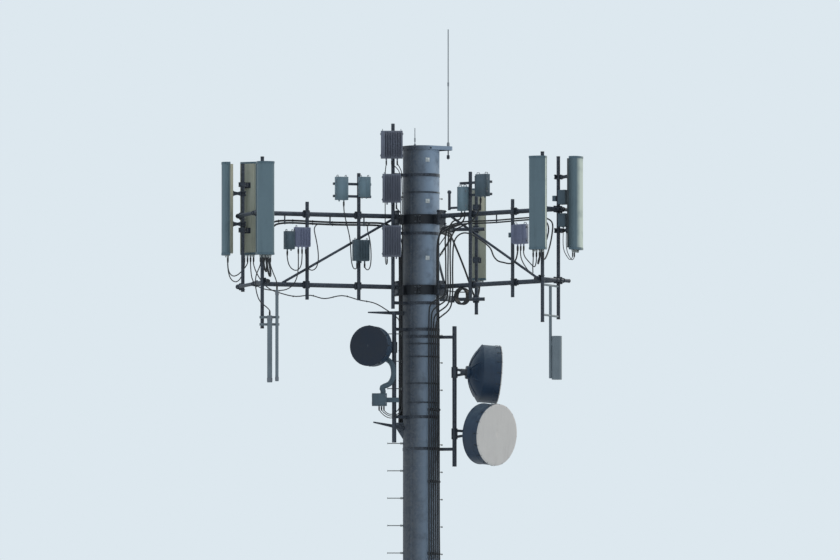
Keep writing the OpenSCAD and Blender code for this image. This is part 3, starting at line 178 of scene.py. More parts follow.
class NodeTree:
    """Short ways to place and join nodes in one shader tree."""

    def __init__(self, tree: ShaderNodeTree) -> None:
        """Takes the tree to work on."""
        self.tree = tree

    def add(self, kind: str, **values: object) -> Node:
        """Adds a node.

        Args:
            kind: The node's type without the ShaderNode prefix.
            **values: Attributes of the node to set.

        Returns:
            The new node.
        """
        node = self.tree.nodes.new("ShaderNode" + kind)
        for key, value in values.items():
            setattr(node, key, value)
        return node

    def feed(self, node: Node, socket: str | int, value: object) -> None:
        """Sets an input of a node, or joins an output to it.

        Args:
            node: The node that takes the value.
            socket: The input's name or index.
            value: A number, a tuple or another node's output socket.
        """
        if isinstance(value, NodeSocket):
            self.tree.links.new(value, node.inputs[socket])
        else:
            node.inputs[socket].default_value = value

    def where(self) -> NodeSocket:
        """Adds a Texture Coordinate node and returns its Object output."""
        return self.add("TexCoord").outputs["Object"]

    def math(self, operation: str, a: object, b: object = 0.0, clamp: bool = False) -> NodeSocket:
        """Adds a Math node and returns its output.

        Args:
            operation: What it does.
            a: First value.
            b: Second value.
            clamp: Keeps the result from 0 to 1.

        Returns:
            The output.
        """
        node = self.add("Math", operation=operation, use_clamp=clamp)
        self.feed(node, 0, a)
        self.feed(node, 1, b)
        return node.outputs[0]

    def times(self, a: object, b: object) -> NodeSocket:
        """Multiplies two values and returns the product."""
        return self.math("MULTIPLY", a, b)

    def mix(self, share: object, a: object, b: object) -> NodeSocket:
        """Adds a colour Mix node and returns its output.

        Args:
            share: Share of the second colour.
            a: First colour.
            b: Second colour.

        Returns:
            The mixed colour.
        """
        node = self.add("Mix", data_type="RGBA")
        for socket, value in ((0, share), (6, a), (7, b)):
            self.feed(node, socket, value)
        return node.outputs[2]

    def ramp(
        self, value: object, low: object, high: object, top: float = 1.0, soft: bool = False
    ) -> NodeSocket:
        """Adds a clamped Map Range node.

        Args:
            value: What is mapped.
            low: The value that gives 0.
            high: The value that gives the top.
            top: The highest result.
            soft: Eases both ends.

        Returns:
            The node's output.
        """
        node = self.add("MapRange", clamp=True, interpolation_type="SMOOTHSTEP" if soft else "LINEAR")
        for socket, given in ((0, value), (1, low), (2, high), (4, top)):
            self.feed(node, socket, given)
        return node.outputs[0]

    def noise(self, where: object, scale: object, detail: float = 4.0, rough: float = 0.6) -> NodeSocket:
        """Adds a Noise Texture and returns its value output.

        Args:
            where: The coordinate.
            scale: Scale of the noise.
            detail: Its detail.
            rough: Its roughness.

        Returns:
            The noise's value.
        """
        node = self.add("TexNoise", noise_dimensions="3D")
        for socket, value in (("Vector", where), ("Scale", scale), ("Detail", detail), ("Roughness", rough)):
            self.feed(node, socket, value)
        return node.outputs[0]

    def tall(self, where: object, share: float) -> NodeSocket:
        """Scales a coordinate's Z by a share, so that what it drives grows tall, and returns it.

        Args:
            where: The coordinate.
            share: Factor on Z.

        Returns:
            The scaled coordinate.
        """
        node = self.add("VectorMath", operation="MULTIPLY")
        self.feed(node, 0, where)
        self.feed(node, 1, (1.0, 1.0, share))
        return node.outputs[0]


class Effects:
    """Shader groups that several finishes share, each built once."""

    def __init__(self) -> None:
        """Starts with no group built."""
        self.made: dict[str, ShaderNodeTree] = {}

    def group(
        self, inputs: dict[str, float], outputs: Sequence[str], build: Callable[..., Sequence[object]]
    ) -> ShaderNodeTree:
        """Builds a shader group the first time it is asked for, named like the method that fills it.

        Args:
            inputs: The float inputs with their defaults.
            outputs: The names of the float outputs.
            build: Takes the tree and a socket for each input, fills it and returns a socket for each output.

        Returns:
            The group.
        """
        name = build.__name__
        if name in self.made:
            return self.made[name]
        tree = bpy.data.node_groups.new(name, "ShaderNodeTree")
        for key, value in inputs.items():
            socket = tree.interface.new_socket(key, in_out="INPUT", socket_type="NodeSocketFloat")
            socket.default_value = value
        for key in outputs:
            tree.interface.new_socket(key, in_out="OUTPUT", socket_type="NodeSocketFloat")
        work = NodeTree(tree)
        source = tree.nodes.new("NodeGroupInput")
        target = tree.nodes.new("NodeGroupOutput")
        for i, made in enumerate(build(work, *(source.outputs[key] for key in inputs))):
            work.feed(target, i, made)
        self.made[name] = tree
        return tree

    def get(self, name: str) -> ShaderNodeTree:
        """Gives one of the groups below by its name."""
        inputs, outputs = GROUPS[name]
        return self.group(inputs, outputs, getattr(self, name))

    def mottle(self, t: NodeTree, scale: object, amount: object) -> Sequence[object]:
        """Gives soft patches at two sizes: a mask and a height.

        Args:
            t: The group's tree.
            scale: Scale of the noise.
            amount: Strength of the effect.

        Returns:
            The mask and the height.
        """
        where = t.where()
        large = t.noise(where, scale)
        fine = t.noise(where, t.times(scale, 9.0), detail=6.0)
        both = t.math("ADD", t.times(large, 0.65), t.times(fine, 0.35))
        return t.times(t.ramp(both, 0.36, 0.64), amount), fine

    def rain_streaks(self, t: NodeTree, scale: object, amount: object) -> Sequence[object]:
        """Gives long vertical streaks of dirt that fade in and out.

        Args:
            t: The group's tree.
            scale: Scale of the noise.
            amount: Strength of the effect.

        Returns:
            The mask.
        """
        where = t.where()
        lines = t.noise(t.tall(where, 0.045), scale, detail=5.0)
        patches = t.noise(where, t.times(scale, 0.12), detail=3.0)
        mask = t.times(t.ramp(lines, 0.48, 0.72), t.ramp(patches, 0.35, 0.62))
        return (t.times(mask, amount),)

    def top_dust(self, t: NodeTree, scale: object, amount: object) -> Sequence[object]:
        """Gives a mask of the faces that look up, broken by noise.

        Args:
            t: The group's tree.
            scale: Scale of the noise.
            amount: Strength of the effect.

        Returns:
            The mask.
        """
        parts = t.add("SeparateXYZ")
        t.feed(parts, 0, t.add("NewGeometry").outputs["Normal"])
        broken = t.ramp(t.noise(t.where(), scale), 0.25, 0.6)
        return (t.times(t.times(t.ramp(parts.outputs[2], 0.15, 0.9), broken), amount),)

    def painted_sun_highlight(self, t: NodeTree, low: object, high: object, amount: object) -> Sequence[object]:
        """Gives a mask of the faces turned towards the lamp, for a painted sunlit highlight.

        Args:
            t: The group's tree.
            low: Facing at which the painted highlight starts.
            high: Facing at which it is full.
            amount: Strength of the effect.

        Returns:
            The mask.
        """
        facing = t.add("VectorMath", operation="DOT_PRODUCT")
        t.feed(facing, 0, t.add("NewGeometry").outputs["Normal"])
        t.feed(facing, 1, tuple(polar(1.0, Studio.sun_azimuth)))
        broken = t.ramp(t.noise(t.where(), 5.0), 0.05, 0.5)
        return (t.times(t.times(t.ramp(facing.outputs["Value"], low, high, soft=True), broken), amount),)

    def spangle(self, t: NodeTree, scale: object, amount: object) -> Sequence[object]:
        """Gives the crystal pattern of zinc: a tone and a height.

        Args:
            t: The group's tree.
            scale: Scale of the crystals.
            amount: Strength of the tone.

        Returns:
            The tone and the height.
        """
        cells = t.add("TexVoronoi", feature="F1")
        t.feed(cells, "Vector", t.where())
        t.feed(cells, "Scale", scale)
        tone = t.add("SeparateXYZ")
        t.feed(tone, 0, cells.outputs["Color"])
        return t.times(tone.outputs[0], amount), cells.outputs["Distance"]

    def specks(self, t: NodeTree, scale: object, amount: object) -> Sequence[object]:
        """Gives small scattered spots with short runs below them, for rust and chips.

        Args:
            t: The group's tree.
            scale: Scale of the noise.
            amount: Strength of the effect.

        Returns:
            The mask.
        """
        where = t.where()
        spots = t.ramp(t.noise(where, scale, detail=6.0, rough=0.7), 0.66, 0.72)
        runs = t.noise(t.tall(where, 0.12), scale, detail=3.0)
        return (t.times(t.math("MAXIMUM", spots, t.ramp(runs, 0.68, 0.8, top=0.6)), amount),)


GROUPS = {
    "mottle": ({"Scale": 3.0, "Amount": 1.0}, ("Mask", "Height")),
    "rain_streaks": ({"Scale": 18.0, "Amount": 0.5}, ("Mask",)),
    "top_dust": ({"Scale": 12.0, "Amount": 0.5}, ("Mask",)),
    # The painted_sun_highlight group is a painted sunlit highlight on the faces towards the lamp.
    "painted_sun_highlight": ({"Low": 0.3, "High": 0.9, "Amount": 0.5}, ("Mask",)),
    "spangle": ({"Scale": 45.0, "Amount": 0.3}, ("Tone", "Height")),
    "specks": ({"Scale": 14.0, "Amount": 0.5}, ("Mask",)),
}
EFFECTS = Effects()


@dataclass(frozen=True)
class Finish:
    """One finish: its colours, how weather has worked on it, and a painted sunlit highlight on its lamp side.
    """

    name: str
    slot: Slot
    color: str
    patch: str
    grime: str = "#20242B"
    dust: str = "#8D8C86"
    # Colour of the painted sunlit highlight on the faces towards the lamp.
    sun_highlight_color: str = "#C9CBC6"
    rust: str = "#5B3A28"
    roughness: float = 0.55
    rough_swing: float = 0.2
    metallic: float = 0.0
    specular: float = 0.5
    mottle_scale: float = 3.0
    mottle: float = 0.7
    streaks: float = 0.45
    streak_scale: float = 18.0
    dusty: float = 0.35
    # Strength and facing range of that painted sunlit highlight.
    sun_highlight_amount: float = 0.0
    sun_highlight_low: float = 0.35
    sun_highlight_high: float = 0.95
    spots: float = 0.0
    spot_scale: float = 14.0
    spangle: float = 0.0
    spangle_scale: float = 45.0
    bump: float = 0.15
    bump_depth: float = 0.0015

    def material(self) -> Material:
        """Builds the finish, or returns it where it is already built."""
        known = bpy.data.materials.get(self.name)
        if known is not None:
            return known
        made = bpy.data.materials.new(self.name)
        made.use_nodes = True
        made.node_tree.nodes.clear()
        tree = NodeTree(made.node_tree)
        shader = tree.add("BsdfPrincipled")
        tree.feed(tree.add("OutputMaterial"), 0, shader.outputs[0])
        tree.feed(shader, "Metallic", self.metallic)
        tree.feed(shader, "Specular IOR Level", self.specular)
        color, rough, height = self.layers(tree)
        tree.feed(shader, "Base Color", color)
        tree.feed(shader, "Roughness", rough)
        relief = tree.add("Bump")
        tree.feed(relief, "Strength", self.bump)
        tree.feed(relief, "Distance", self.bump_depth)
        tree.feed(relief, "Height", height)
        tree.feed(shader, "Normal", relief.outputs[0])
        made.diffuse_color = linear(self.color)
        return made

    def effect(self, tree: NodeTree, name: str, **values: float) -> Node:
        """Places a shared effect with this finish's values.

        Args:
            tree: The material's tree.
            name: The effect.
            **values: The effect's inputs, by their names in lower case.

        Returns:
            The group node.
        """
        node = tree.add("Group", node_tree=EFFECTS.get(name))
        for key, value in values.items():
            tree.feed(node, key.capitalize(), value)
        return node

    def layers(self, tree: NodeTree) -> tuple[object, object, object]:
        """Lays paint, patches, dirt, rust, dust and a painted sunlit highlight over each other.

        Args:
            tree: The material's tree.

        Returns:
            The colour, the roughness and the height.
        """
        patches = self.effect(tree, "mottle", scale=self.mottle_scale, amount=self.mottle)
        color = tree.mix(patches.outputs["Mask"], linear(self.color), linear(self.patch))
        height = patches.outputs["Height"]
        if self.spangle:
            zinc = self.effect(tree, "spangle", scale=self.spangle_scale, amount=self.spangle)
            color = tree.mix(zinc.outputs["Tone"], color, linear(self.dust))
            height = tree.math("ADD", height, tree.times(zinc.outputs["Height"], 0.6))
        runs = self.effect(tree, "rain_streaks", scale=self.streak_scale, amount=self.streaks)
        color = tree.mix(runs.outputs["Mask"], color, linear(self.grime))
        if self.spots:
            rust = self.effect(tree, "specks", scale=self.spot_scale, amount=self.spots)
            color = tree.mix(rust.outputs["Mask"], color, linear(self.rust))
        top = self.effect(tree, "top_dust", amount=self.dusty)
        color = tree.mix(top.outputs["Mask"], color, linear(self.dust))
        # Painted sunlit highlight: a lighter colour on the faces turned towards the lamp.
        if self.sun_highlight_amount:
            sun = self.effect(
                tree, "painted_sun_highlight", low=self.sun_highlight_low, high=self.sun_highlight_high, amount=self.sun_highlight_amount
            )
            color = tree.mix(sun.outputs["Mask"], color, linear(self.sun_highlight_color))
        swing = tree.times(patches.outputs["Mask"], self.rough_swing)
        rough = tree.math("ADD", swing, self.roughness, clamp=True)
        return color, rough, height


@dataclass(frozen=True)
class CableFinish(Finish):
    """A black jacket with pale scuffs."""

    def layers(self, tree: NodeTree) -> tuple[object, object, object]:
        """Adds scuffs to the common layers.

        Args:
            tree: The material's tree.

        Returns:
            The colour, the roughness and the height.
        """
        color, rough, height = super().layers(tree)
        scuff = tree.ramp(tree.noise(tree.where(), 60.0, detail=3.0), 0.55, 0.75, top=0.5)
        return tree.mix(scuff, color, linear(self.dust)), rough, height


@dataclass(frozen=True)
class FabricFinish(Finish):
    """A stretched cover cloth with a fine weave."""

    def layers(self, tree: NodeTree) -> tuple[object, object, object]:
        """Adds two crossing waves of thread to the common height.

        Args:
            tree: The material's tree.

        Returns:
            The colour, the roughness and the height.
        """
        color, rough, height = super().layers(tree)
        where = tree.where()
        threads = []
        for direction in ("Y", "Z"):
            wave = tree.add("TexWave", wave_type="BANDS", bands_direction=direction)
            for socket, value in (("Vector", where), ("Scale", 110.0), ("Distortion", 0.4)):
                tree.feed(wave, socket, value)
            threads.append(wave.outputs[1])
        weave = tree.math("ADD", *threads)
        return color, rough, tree.math("ADD", height, tree.times(weave, 0.4))


# Dark steel with a painted sunlit highlight that lightens nearly every face towards the lamp's side.
POLE_STEEL = Finish(
    "weathered_pole_steel", Slot.POLE, "#262E3B", "#323B49", grime="#141921", sun_highlight_color="#8192A7",
    roughness=0.5, mottle_scale=1.1, streaks=0.75, streak_scale=11.0, sun_highlight_amount=1.0, sun_highlight_low=-1.0,
    sun_highlight_high=0.25, spots=0.25, spot_scale=9.0, spangle=0.12, spangle_scale=30.0, dusty=0.3,
)
BASE_STEEL = Finish(
    "galvanised_base_steel", Slot.BASE, "#6B7074", "#7F8488", grime="#41413F", roughness=0.45,
    metallic=0.35, spots=0.55, spangle=0.4, spangle_scale=38.0,
)
ANCHOR_STEEL = Finish(
    "anchor_steel", Slot.BASE, "#7C8083", "#8E9295", grime="#4A4844", roughness=0.38, metallic=0.6,
    spots=0.6, spot_scale=40.0,
)
# The near-black colour is painted shade of the backlit pipes over grey zinc, with a painted sunlit highlight
# on the lamp side.
MOUNT_STEEL = Finish(
    "galvanised_mount_steel", Slot.MOUNT, "#20262F", "#2D343F", grime="#0F1217", dust="#666F7F",
    sun_highlight_color="#9AA0A6", roughness=0.48, metallic=0.3, spots=0.35, spot_scale=22.0, spangle=0.3,
    spangle_scale=60.0, dusty=0.6, sun_highlight_amount=0.45, streaks=0.5,
)
DARK_STEEL = Finish(
    "dark_collar_steel", Slot.MOUNT, "#181C23", "#252A33", grime="#0B0D11", dust="#4D535D", sun_highlight_color="#6E757D",
    roughness=0.5, metallic=0.3, spots=0.4, spot_scale=20.0, sun_highlight_amount=0.35, streaks=0.5,
)
STRAP_STEEL = Finish(
    "dull_strap_steel", Slot.STRAP, "#343A43", "#484E58", grime="#1E2127", roughness=0.4, metallic=0.55,
    sun_highlight_amount=0.6, sun_highlight_color="#B8BCBC", spots=0.3, spot_scale=30.0,
)
# Pale zinc, lightened further into a painted glint of the sun on the bosses and their bolts.
GLINT_BOSS_STEEL = Finish(
    "glint_painted_boss_steel", Slot.STRAP, "#B9BFC2", "#CCD0D1", grime="#70757A", roughness=0.35, metallic=0.4,
    sun_highlight_amount=0.6, sun_highlight_color="#E6E8E6",
)
TRIM_STEEL = Finish(
    "radio_trim_steel", Slot.STRAP, "#6B7078", "#7C8189", grime="#363A41", roughness=0.4, metallic=0.5,
    sun_highlight_amount=0.4, sun_highlight_color="#C6C9C8",
)
ROD_METAL = Finish(
    "bare_rod_metal", Slot.ROD, "#7E8389", "#92979B", roughness=0.35, metallic=0.8, streaks=0.3, dusty=0.1,
)
CABLE_JACKET = CableFinish(
    "black_cable_jacket", Slot.CABLE, "#14161B", "#1D2026", grime="#0C0D10", dust="#4A4D52", roughness=0.5,
    streaks=0.2, dusty=0.4, sun_highlight_amount=0.25, sun_highlight_color="#6B6E72",
)
SLEEVE_RUBBER = Finish(
    "sleeve_rubber", Slot.CABLE, "#1E1F22", "#292A2D", grime="#101113", dust="#4E4F50", roughness=0.65,
    streaks=0.1, bump=0.25,
)
TIE_PLASTIC = Finish(
    "tie_plastic", Slot.CABLE, "#0F1013", "#191A1E", grime="#08090B", dust="#3A3B3E", roughness=0.35,
    streaks=0.0, dusty=0.2,
)
CAP_PLASTIC = Finish(
    "cap_plastic", Slot.CABLE, "#22252B", "#2E3138", grime="#131519", dust="#63666B", roughness=0.5,
    streaks=0.2, sun_highlight_amount=0.3, sun_highlight_color="#85888B",
)
# The cream on the faces towards the lamp is a painted sunlit highlight.
SHELL_FRONT = Finish(
    "slate_antenna_front", Slot.ANTENNA, "#596D77", "#647882", grime="#36464E", sun_highlight_color="#CDD0C0",
    dust="#98A09E", roughness=0.62, mottle_scale=1.8, mottle=0.6, streaks=0.4, sun_highlight_amount=0.95,
    sun_highlight_low=0.45, sun_highlight_high=0.8, bump=0.06, dusty=0.3,
)
# Lit copy of the antenna front for the right panels: a paler, wider painted sunlit highlight makes their
# lamp-side faces show as lit.
SHELL_FRONT_SUNLIT = replace(
    SHELL_FRONT, name="sunlit_antenna_front", color="#536670", patch="#5E717B", grime="#36444A",
    sun_highlight_color="#BCC5BC", dust="#A5AAA2", sun_highlight_low=0.1, sun_highlight_high=0.55,
)
SHELL_OLIVE = Finish(
    "olive_antenna_front", Slot.ANTENNA, "#8D907C", "#9A9D88", grime="#4C4E40", sun_highlight_color="#CFD0BC",
    dust="#A5AAA2", roughness=0.62, mottle_scale=1.8, mottle=0.6, streaks=0.6, sun_highlight_amount=0.6, bump=0.06,
)
SHELL_BACK = Finish(
    "pale_antenna_back", Slot.ANTENNA, "#8E9184", "#9C9F92", grime="#55564A", dust="#83847A",
    sun_highlight_color="#C6C8B8", roughness=0.5, metallic=0.1, mottle_scale=2.5, streaks=0.6, sun_highlight_amount=0.6, bump=0.06,
)
# Copy of the pale back darkened as painted shade, for the right panels' trays that face away from the lamp.
SHELL_TRAY_SHADED = replace(
    SHELL_BACK, name="shaded_antenna_tray", color="#3A454A", patch="#465157", grime="#20272A",
    dust="#8D8C86", sun_highlight_color="#9AA19C", sun_highlight_amount=0.5,
)
SHELL_CAP = Finish(
    "antenna_cap_plastic", Slot.ANTENNA, "#4A5F6B", "#556A76", grime="#2A373E", sun_highlight_color="#B4B8AC",
    roughness=0.6, streaks=0.5, sun_highlight_amount=0.7, bump=0.08,
)
PLUG_METAL = Finish(
    "connector_metal", Slot.ANTENNA, "#8C9090", "#A0A4A3", grime="#4C4E4C", roughness=0.32, metallic=0.8,
    streaks=0.3,
)
RADIO_HOUSING = Finish(
    "grey_radio_housing", Slot.RADIO, "#727893", "#8086A0", grime="#3C4154", sun_highlight_color="#B9BDC2",
    dust="#8A8E98", mottle_scale=4.0, sun_highlight_amount=0.6, streaks=0.5,
)
STACK_HOUSING = replace(
    RADIO_HOUSING, name="stack_radio_housing", color="#666B7B", patch="#737888", grime="#3A3941",
    sun_highlight_color="#B4B4B6", dust="#8C8B90",
)
BOX_HOUSING = replace(
    RADIO_HOUSING, name="slate_box_housing", color="#5F7582", patch="#6C828E", grime="#35444D",
    sun_highlight_color="#BCC8CC", dust="#8F9EA5",
)
DARK_HOUSING = replace(
    RADIO_HOUSING, name="dark_radio_housing", color="#3F505C", patch="#4C5E6A", grime="#222C33",
    sun_highlight_color="#9BA8AE", dust="#707C84",
)
WHIP_SHELL = Finish(
    "grey_whip_shell", Slot.WHIP, "#5F6A73", "#717B83", grime="#363D44", sun_highlight_color="#C2C6C4", sun_highlight_amount=0.7,
    streaks=0.4,
)
DISH_SHELL = Finish(
    "dark_dish_shell", Slot.DISH, "#14293F", "#1B344E", grime="#0E161F", sun_highlight_color="#6E8090", dust="#5E6E7A",
    roughness=0.45, mottle_scale=2.2, sun_highlight_amount=0.3, dusty=0.5,
)
COVER_LIGHT = FabricFinish(
    "pale_dish_cover", Slot.COVER_LIGHT, "#BDB9B8", "#C7C3C1", grime="#8E8A88", sun_highlight_color="#DAD7D3",
    roughness=0.7, mottle_scale=3.5, mottle=0.5, streaks=0.25, sun_highlight_amount=0.3, bump=0.1,
)
COVER_DARK = FabricFinish(
    "dark_dish_cover", Slot.COVER_DARK, "#0F1B2B", "#172538", grime="#18212C", roughness=0.65,
    mottle_scale=3.5, streaks=0.3, bump=0.1,
)
FINISH_OF_SLOT = {
    finish.slot.value: finish
    for finish in (
        POLE_STEEL, BASE_STEEL, MOUNT_STEEL, STRAP_STEEL, ROD_METAL, CABLE_JACKET, SHELL_FRONT,
        RADIO_HOUSING, WHIP_SHELL, DISH_SHELL, COVER_LIGHT, COVER_DARK,
    )
}
FINISH_OF_NODE = {
    "upper_collar": DARK_STEEL, "lower_collar": DARK_STEEL, "junction_box": DARK_HOUSING,
    "junction_duct": DARK_HOUSING, "right_amplifiers": DARK_HOUSING,
}


@dataclass
class Studio:
    """Camera, lamps, floor and background."""

    photo_scale: float = 20.0
    pole_px: tuple[float, float] = (286.4, 149.1)
    crop_px: tuple[float, float, float, float] = (146.0, 100.0, 426.0, 287.0)
    distance: float = 300.0
    eye_height: float = 1.7
    sensor: float = 36.0
    clip: tuple[float, float] = (1.0, 3000.0)
    sun_azimuth: float = 28.0
    sun_elevation: float = 40.0
    sun_strength: float = 1.3
    sun_angle: float = 9.0
    sun_color: str = "#FFF1DC"
    sky_color: str = "#DDE8EF"
    sky_strength: float = 1.0
    floor_color: str = "#D9DCDC"
    floor_roughness: float = 0.9
    floor_radius: float = 420.0
    floor_height: float = -0.002
    floor_sides: int = 96

    def camera(self, pole_top: float) -> None:
        """Looks up at the top of the tower from the photograph's angle, closer in.

        Args:
            pole_top: Height of the pole's top edge.
        """
        x0, y0, x1, y1 = self.crop_px
        across = (x1 - x0) / self.photo_scale
        target = Vector((
            ((x0 + x1) / 2 - self.pole_px[0]) / self.photo_scale, 0.0,
            pole_top - ((y0 + y1) / 2 - self.pole_px[1]) / self.photo_scale,
        ))
        eye = Vector((0.0, -self.distance, self.eye_height))
        data = bpy.data.cameras.new("camera")
        data.sensor_width = self.sensor
        data.lens = self.sensor * (target - eye).length / across
        data.clip_start, data.clip_end = self.clip
        camera = linked("camera", data)
        camera.location = eye
        camera.rotation_mode = "QUATERNION"
        camera.rotation_quaternion = (target - eye).to_track_quat("-Z", "Y")
        bpy.context.scene.camera = camera

    def lights(self) -> None:
        """Sets the pale sky, and a soft lamp from the side that is bright in the photograph."""
        world = bpy.data.worlds.new("sky")
        world.use_nodes = True
        sky = world.node_tree.nodes["Background"]
        sky.inputs[0].default_value = linear(self.sky_color)
        sky.inputs[1].default_value = self.sky_strength
        bpy.context.scene.world = world
        data = bpy.data.lights.new("key", "SUN")
        data.energy = self.sun_strength
        data.color = linear(self.sun_color)[:3]
        data.angle = math.radians(self.sun_angle)
        lamp = linked("key", data)
        toward = polar(1.0, self.sun_azimuth) + UP * math.tan(math.radians(self.sun_elevation))
        lamp.rotation_mode = "QUATERNION"
        lamp.rotation_quaternion = toward.to_track_quat("Z", "Y")

    def floor(self) -> None:
        """Lays a plain pale floor under the base plate."""
        bm = bmesh.new()
        bmesh.ops.create_circle(bm, cap_ends=True, segments=self.floor_sides, radius=self.floor_radius)
        bmesh.ops.translate(bm, verts=bm.verts, vec=UP * self.floor_height)
        mesh = written(bm, "floor")
        paint = bpy.data.materials.new("pale_floor")
        paint.use_nodes = True
        shader = paint.node_tree.nodes["Principled BSDF"]
        shader.inputs["Base Color"].default_value = linear(self.floor_color)
        shader.inputs["Roughness"].default_value = self.floor_roughness
        mesh.materials.append(paint)
        linked("floor", mesh)

    def build(self, pole_top: float) -> None:
        """Makes the whole studio.

        Args:
            pole_top: Height of the pole's top edge.
        """
        self.camera(pole_top)
        self.lights()
        self.floor()
        bpy.context.scene.view_settings.view_transform = "Standard"


class Template:
    """A small mesh at the origin that is stamped many times."""

    def __init__(self, build: Callable[[BMesh], None]) -> None:
        """Builds the mesh once.

        Args:
            build: Fills an empty mesh, in metres, with the fitting's foot at the origin and +Z outwards.
        """
        bm = bmesh.new()
        build(bm)
        bmesh.ops.remove_doubles(bm, verts=bm.verts, dist=MERGE_BUILT)
        bmesh.ops.recalc_face_normals(bm, faces=bm.faces)
        bm.verts.index_update()
        self.points = np.array([v.co[:] for v in bm.verts])
        self.faces = [[v.index for v in f.verts] for f in bm.faces]
        bm.free()


def bevelled(bm: BMesh, edges: Iterable[BMEdge], width: float, steps: int) -> None:
    """Bevels some edges of a mesh.

    Args:
        bm: The mesh.
        edges: The edges.
        width: Width of the bevel.
        steps: Segments of the bevel.
    """
    bmesh.ops.bevel(
        bm, geom=list(edges), offset=width, segments=steps, profile=0.5, affect="EDGES", material=-1
    )


def disc(bm: BMesh, radius: float, low: float, high: float, sides: int, bevel: float = 0.0) -> None:
    """Adds an upright cylinder, with its upper edge bevelled where a bevel is given.

    Args:
        bm: The mesh that takes it.
        radius: Its radius.
        low: Height of its foot.
        high: Height of its top.
        sides: Its sides.
        bevel: Width of the bevel.
    """
    made = bmesh.ops.create_cone(
        bm, cap_ends=True, segments=sides, radius1=radius, radius2=radius, depth=high - low,
        matrix=Matrix.Translation((0.0, 0.0, (low + high) / 2)),
    )["verts"]
    if bevel:
        top = high - MERGE_BUILT
        bevelled(bm, {e for v in made for e in v.link_edges if all(w.co.z > top for w in e.verts)}, bevel, 1)


def block(bm: BMesh, size: Sequence[float], middle: Sequence[float], bevel: float = 0.0) -> None:
    """Adds a box, with all its edges bevelled where a bevel is given.

    Args:
        bm: The mesh that takes it.
        size: Length of each side.
        middle: Its centre.
        bevel: Width of the bevel.
    """
    place = Matrix.Translation(middle) @ Matrix.Diagonal((*size, 1.0))
    made = bmesh.ops.create_cube(bm, size=1.0, matrix=place)["verts"]
    if bevel:
        bevelled(bm, {e for v in made for e in v.link_edges}, bevel, 2)


def torus(bm: BMesh, radius: float, wire: float, z: float, steps: int, sides: int = 6) -> None:
    """Adds a ring of round wire about +Z by a full spin.

    Args:
        bm: The mesh that takes it.
        radius: Radius of the ring.
        wire: Radius of the wire.
        z: Height of the ring.
        steps: Steps of the spin.
        sides: Sides of the wire.
    """
    turn = Matrix.Rotation(math.pi / 2, 4, "X")
    made = bmesh.ops.create_circle(
        bm, cap_ends=False, segments=sides, radius=wire, matrix=Matrix.Translation((radius, 0.0, z)) @ turn
    )["verts"]
    edges = list({e for v in made for e in v.link_edges})
    bmesh.ops.spin(
        bm, geom=list(made) + edges, cent=(0.0, 0.0, 0.0), axis=(0.0, 0.0, 1.0), angle=math.tau,
        steps=steps, use_merge=True,
    )


class Kit:
    """Fittings that many pieces use, each built the first time it is asked for."""

    def __init__(self) -> None:
        """Starts with nothing built."""
        self.made: dict[tuple[object, ...], Template] = {}

    def get(self, key: tuple[object, ...], build: Callable[[BMesh], None]) -> Template:
        """Returns the template of that key, built if it is new.

        Args:
            key: The fitting's kind and sizes.
            build: Fills its mesh.

        Returns:
            The template.
        """
        if key not in self.made:
            self.made[key] = Template(build)
        return self.made[key]

    def hexagon(self, bm: BMesh, d: float, top: float) -> None:
        """Adds a washer and a hexagon on it, up to a height in thread diameters."""
        disc(bm, d * 1.1, 0.0, d * 0.16, 16)
        disc(bm, d * 0.92, d * 0.16, d * top, 6, d * 0.12)

    def bolt(self, d: float, stud: float = 0.6) -> Template:
        """A washer and a hexagon nut on a bolt's end.

        Args:
            d: Thread diameter.
            stud: Length of thread past the nut, in thread diameters.

        Returns:
            The template.
        """
        def build(bm: BMesh) -> None:
            """Fills the bolt's mesh."""
            self.hexagon(bm, d, 0.95)
            disc(bm, d * 0.5, d * 0.9, d * (0.95 + stud), 10, d * 0.1)
        return self.get(("bolt", d, stud), build)

    def head(self, d: float) -> Template:
        """A hexagon head on a washer."""
        return self.get(("head", d), lambda bm: self.hexagon(bm, d, 0.82))

    def screw(self, d: float) -> Template:
        """A round screw head."""
        return self.get(("screw", d), lambda bm: disc(bm, d, 0.0, d * 0.6, 12, d * 0.25))

    def cap(self, d: float, h: float = 0.012) -> Template:
        """A cap on the end of a pipe."""
        return self.get(("cap", d, h), lambda bm: disc(bm, d / 2 + 0.002, -h, 0.004, 24, 0.003))

    def band(self, d: float, h: float, t: float = 0.002, sides: int = 32) -> Template:
        """A thin band round a pipe."""
        return self.get(("band", d, h, t), lambda bm: disc(bm, d / 2 + t, -h / 2, h / 2, sides))

    def weld(self, r: float, bead: float = 0.004, steps: int = 32) -> Template:
        """A weld bead round a pipe."""
        return self.get(("weld", r, bead), lambda bm: torus(bm, r, bead, 0.0, steps))

    def plate(self, w: float, h: float, t: float, bevel: float = 0.003) -> Template:
        """A small plate that lies on its back."""
        return self.get(("plate", w, h, t), lambda bm: block(bm, (w, h, t), (0.0, 0.0, t / 2), bevel))


KIT = Kit()


class Tube(Enum):
    """How finely a wire is rounded, by how near it is looked at."""

    PLAIN = 2
    ROUGH = 1


def show(name: str, mesh: Mesh, finishes: Sequence[Finish], sharp: float = 35.0) -> Object:
    """Gives a mesh its finishes and shading and puts it on the tower.

    Args:
        name: The piece's name.
        mesh: Its mesh, in the frame's place.
        finishes: One finish for each material index.
        sharp: Angle in degrees above which an edge stays sharp.

    Returns:
        The object.
    """
    for finish in finishes:
        mesh.materials.append(finish.material())
    mesh.shade_smooth()
    mesh.set_sharp_from_angle(angle=math.radians(sharp))
    made = linked(name, mesh)
    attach(made, BODY)
    LOG.info("%s: %d faces", name, len(mesh.polygons))
    return made


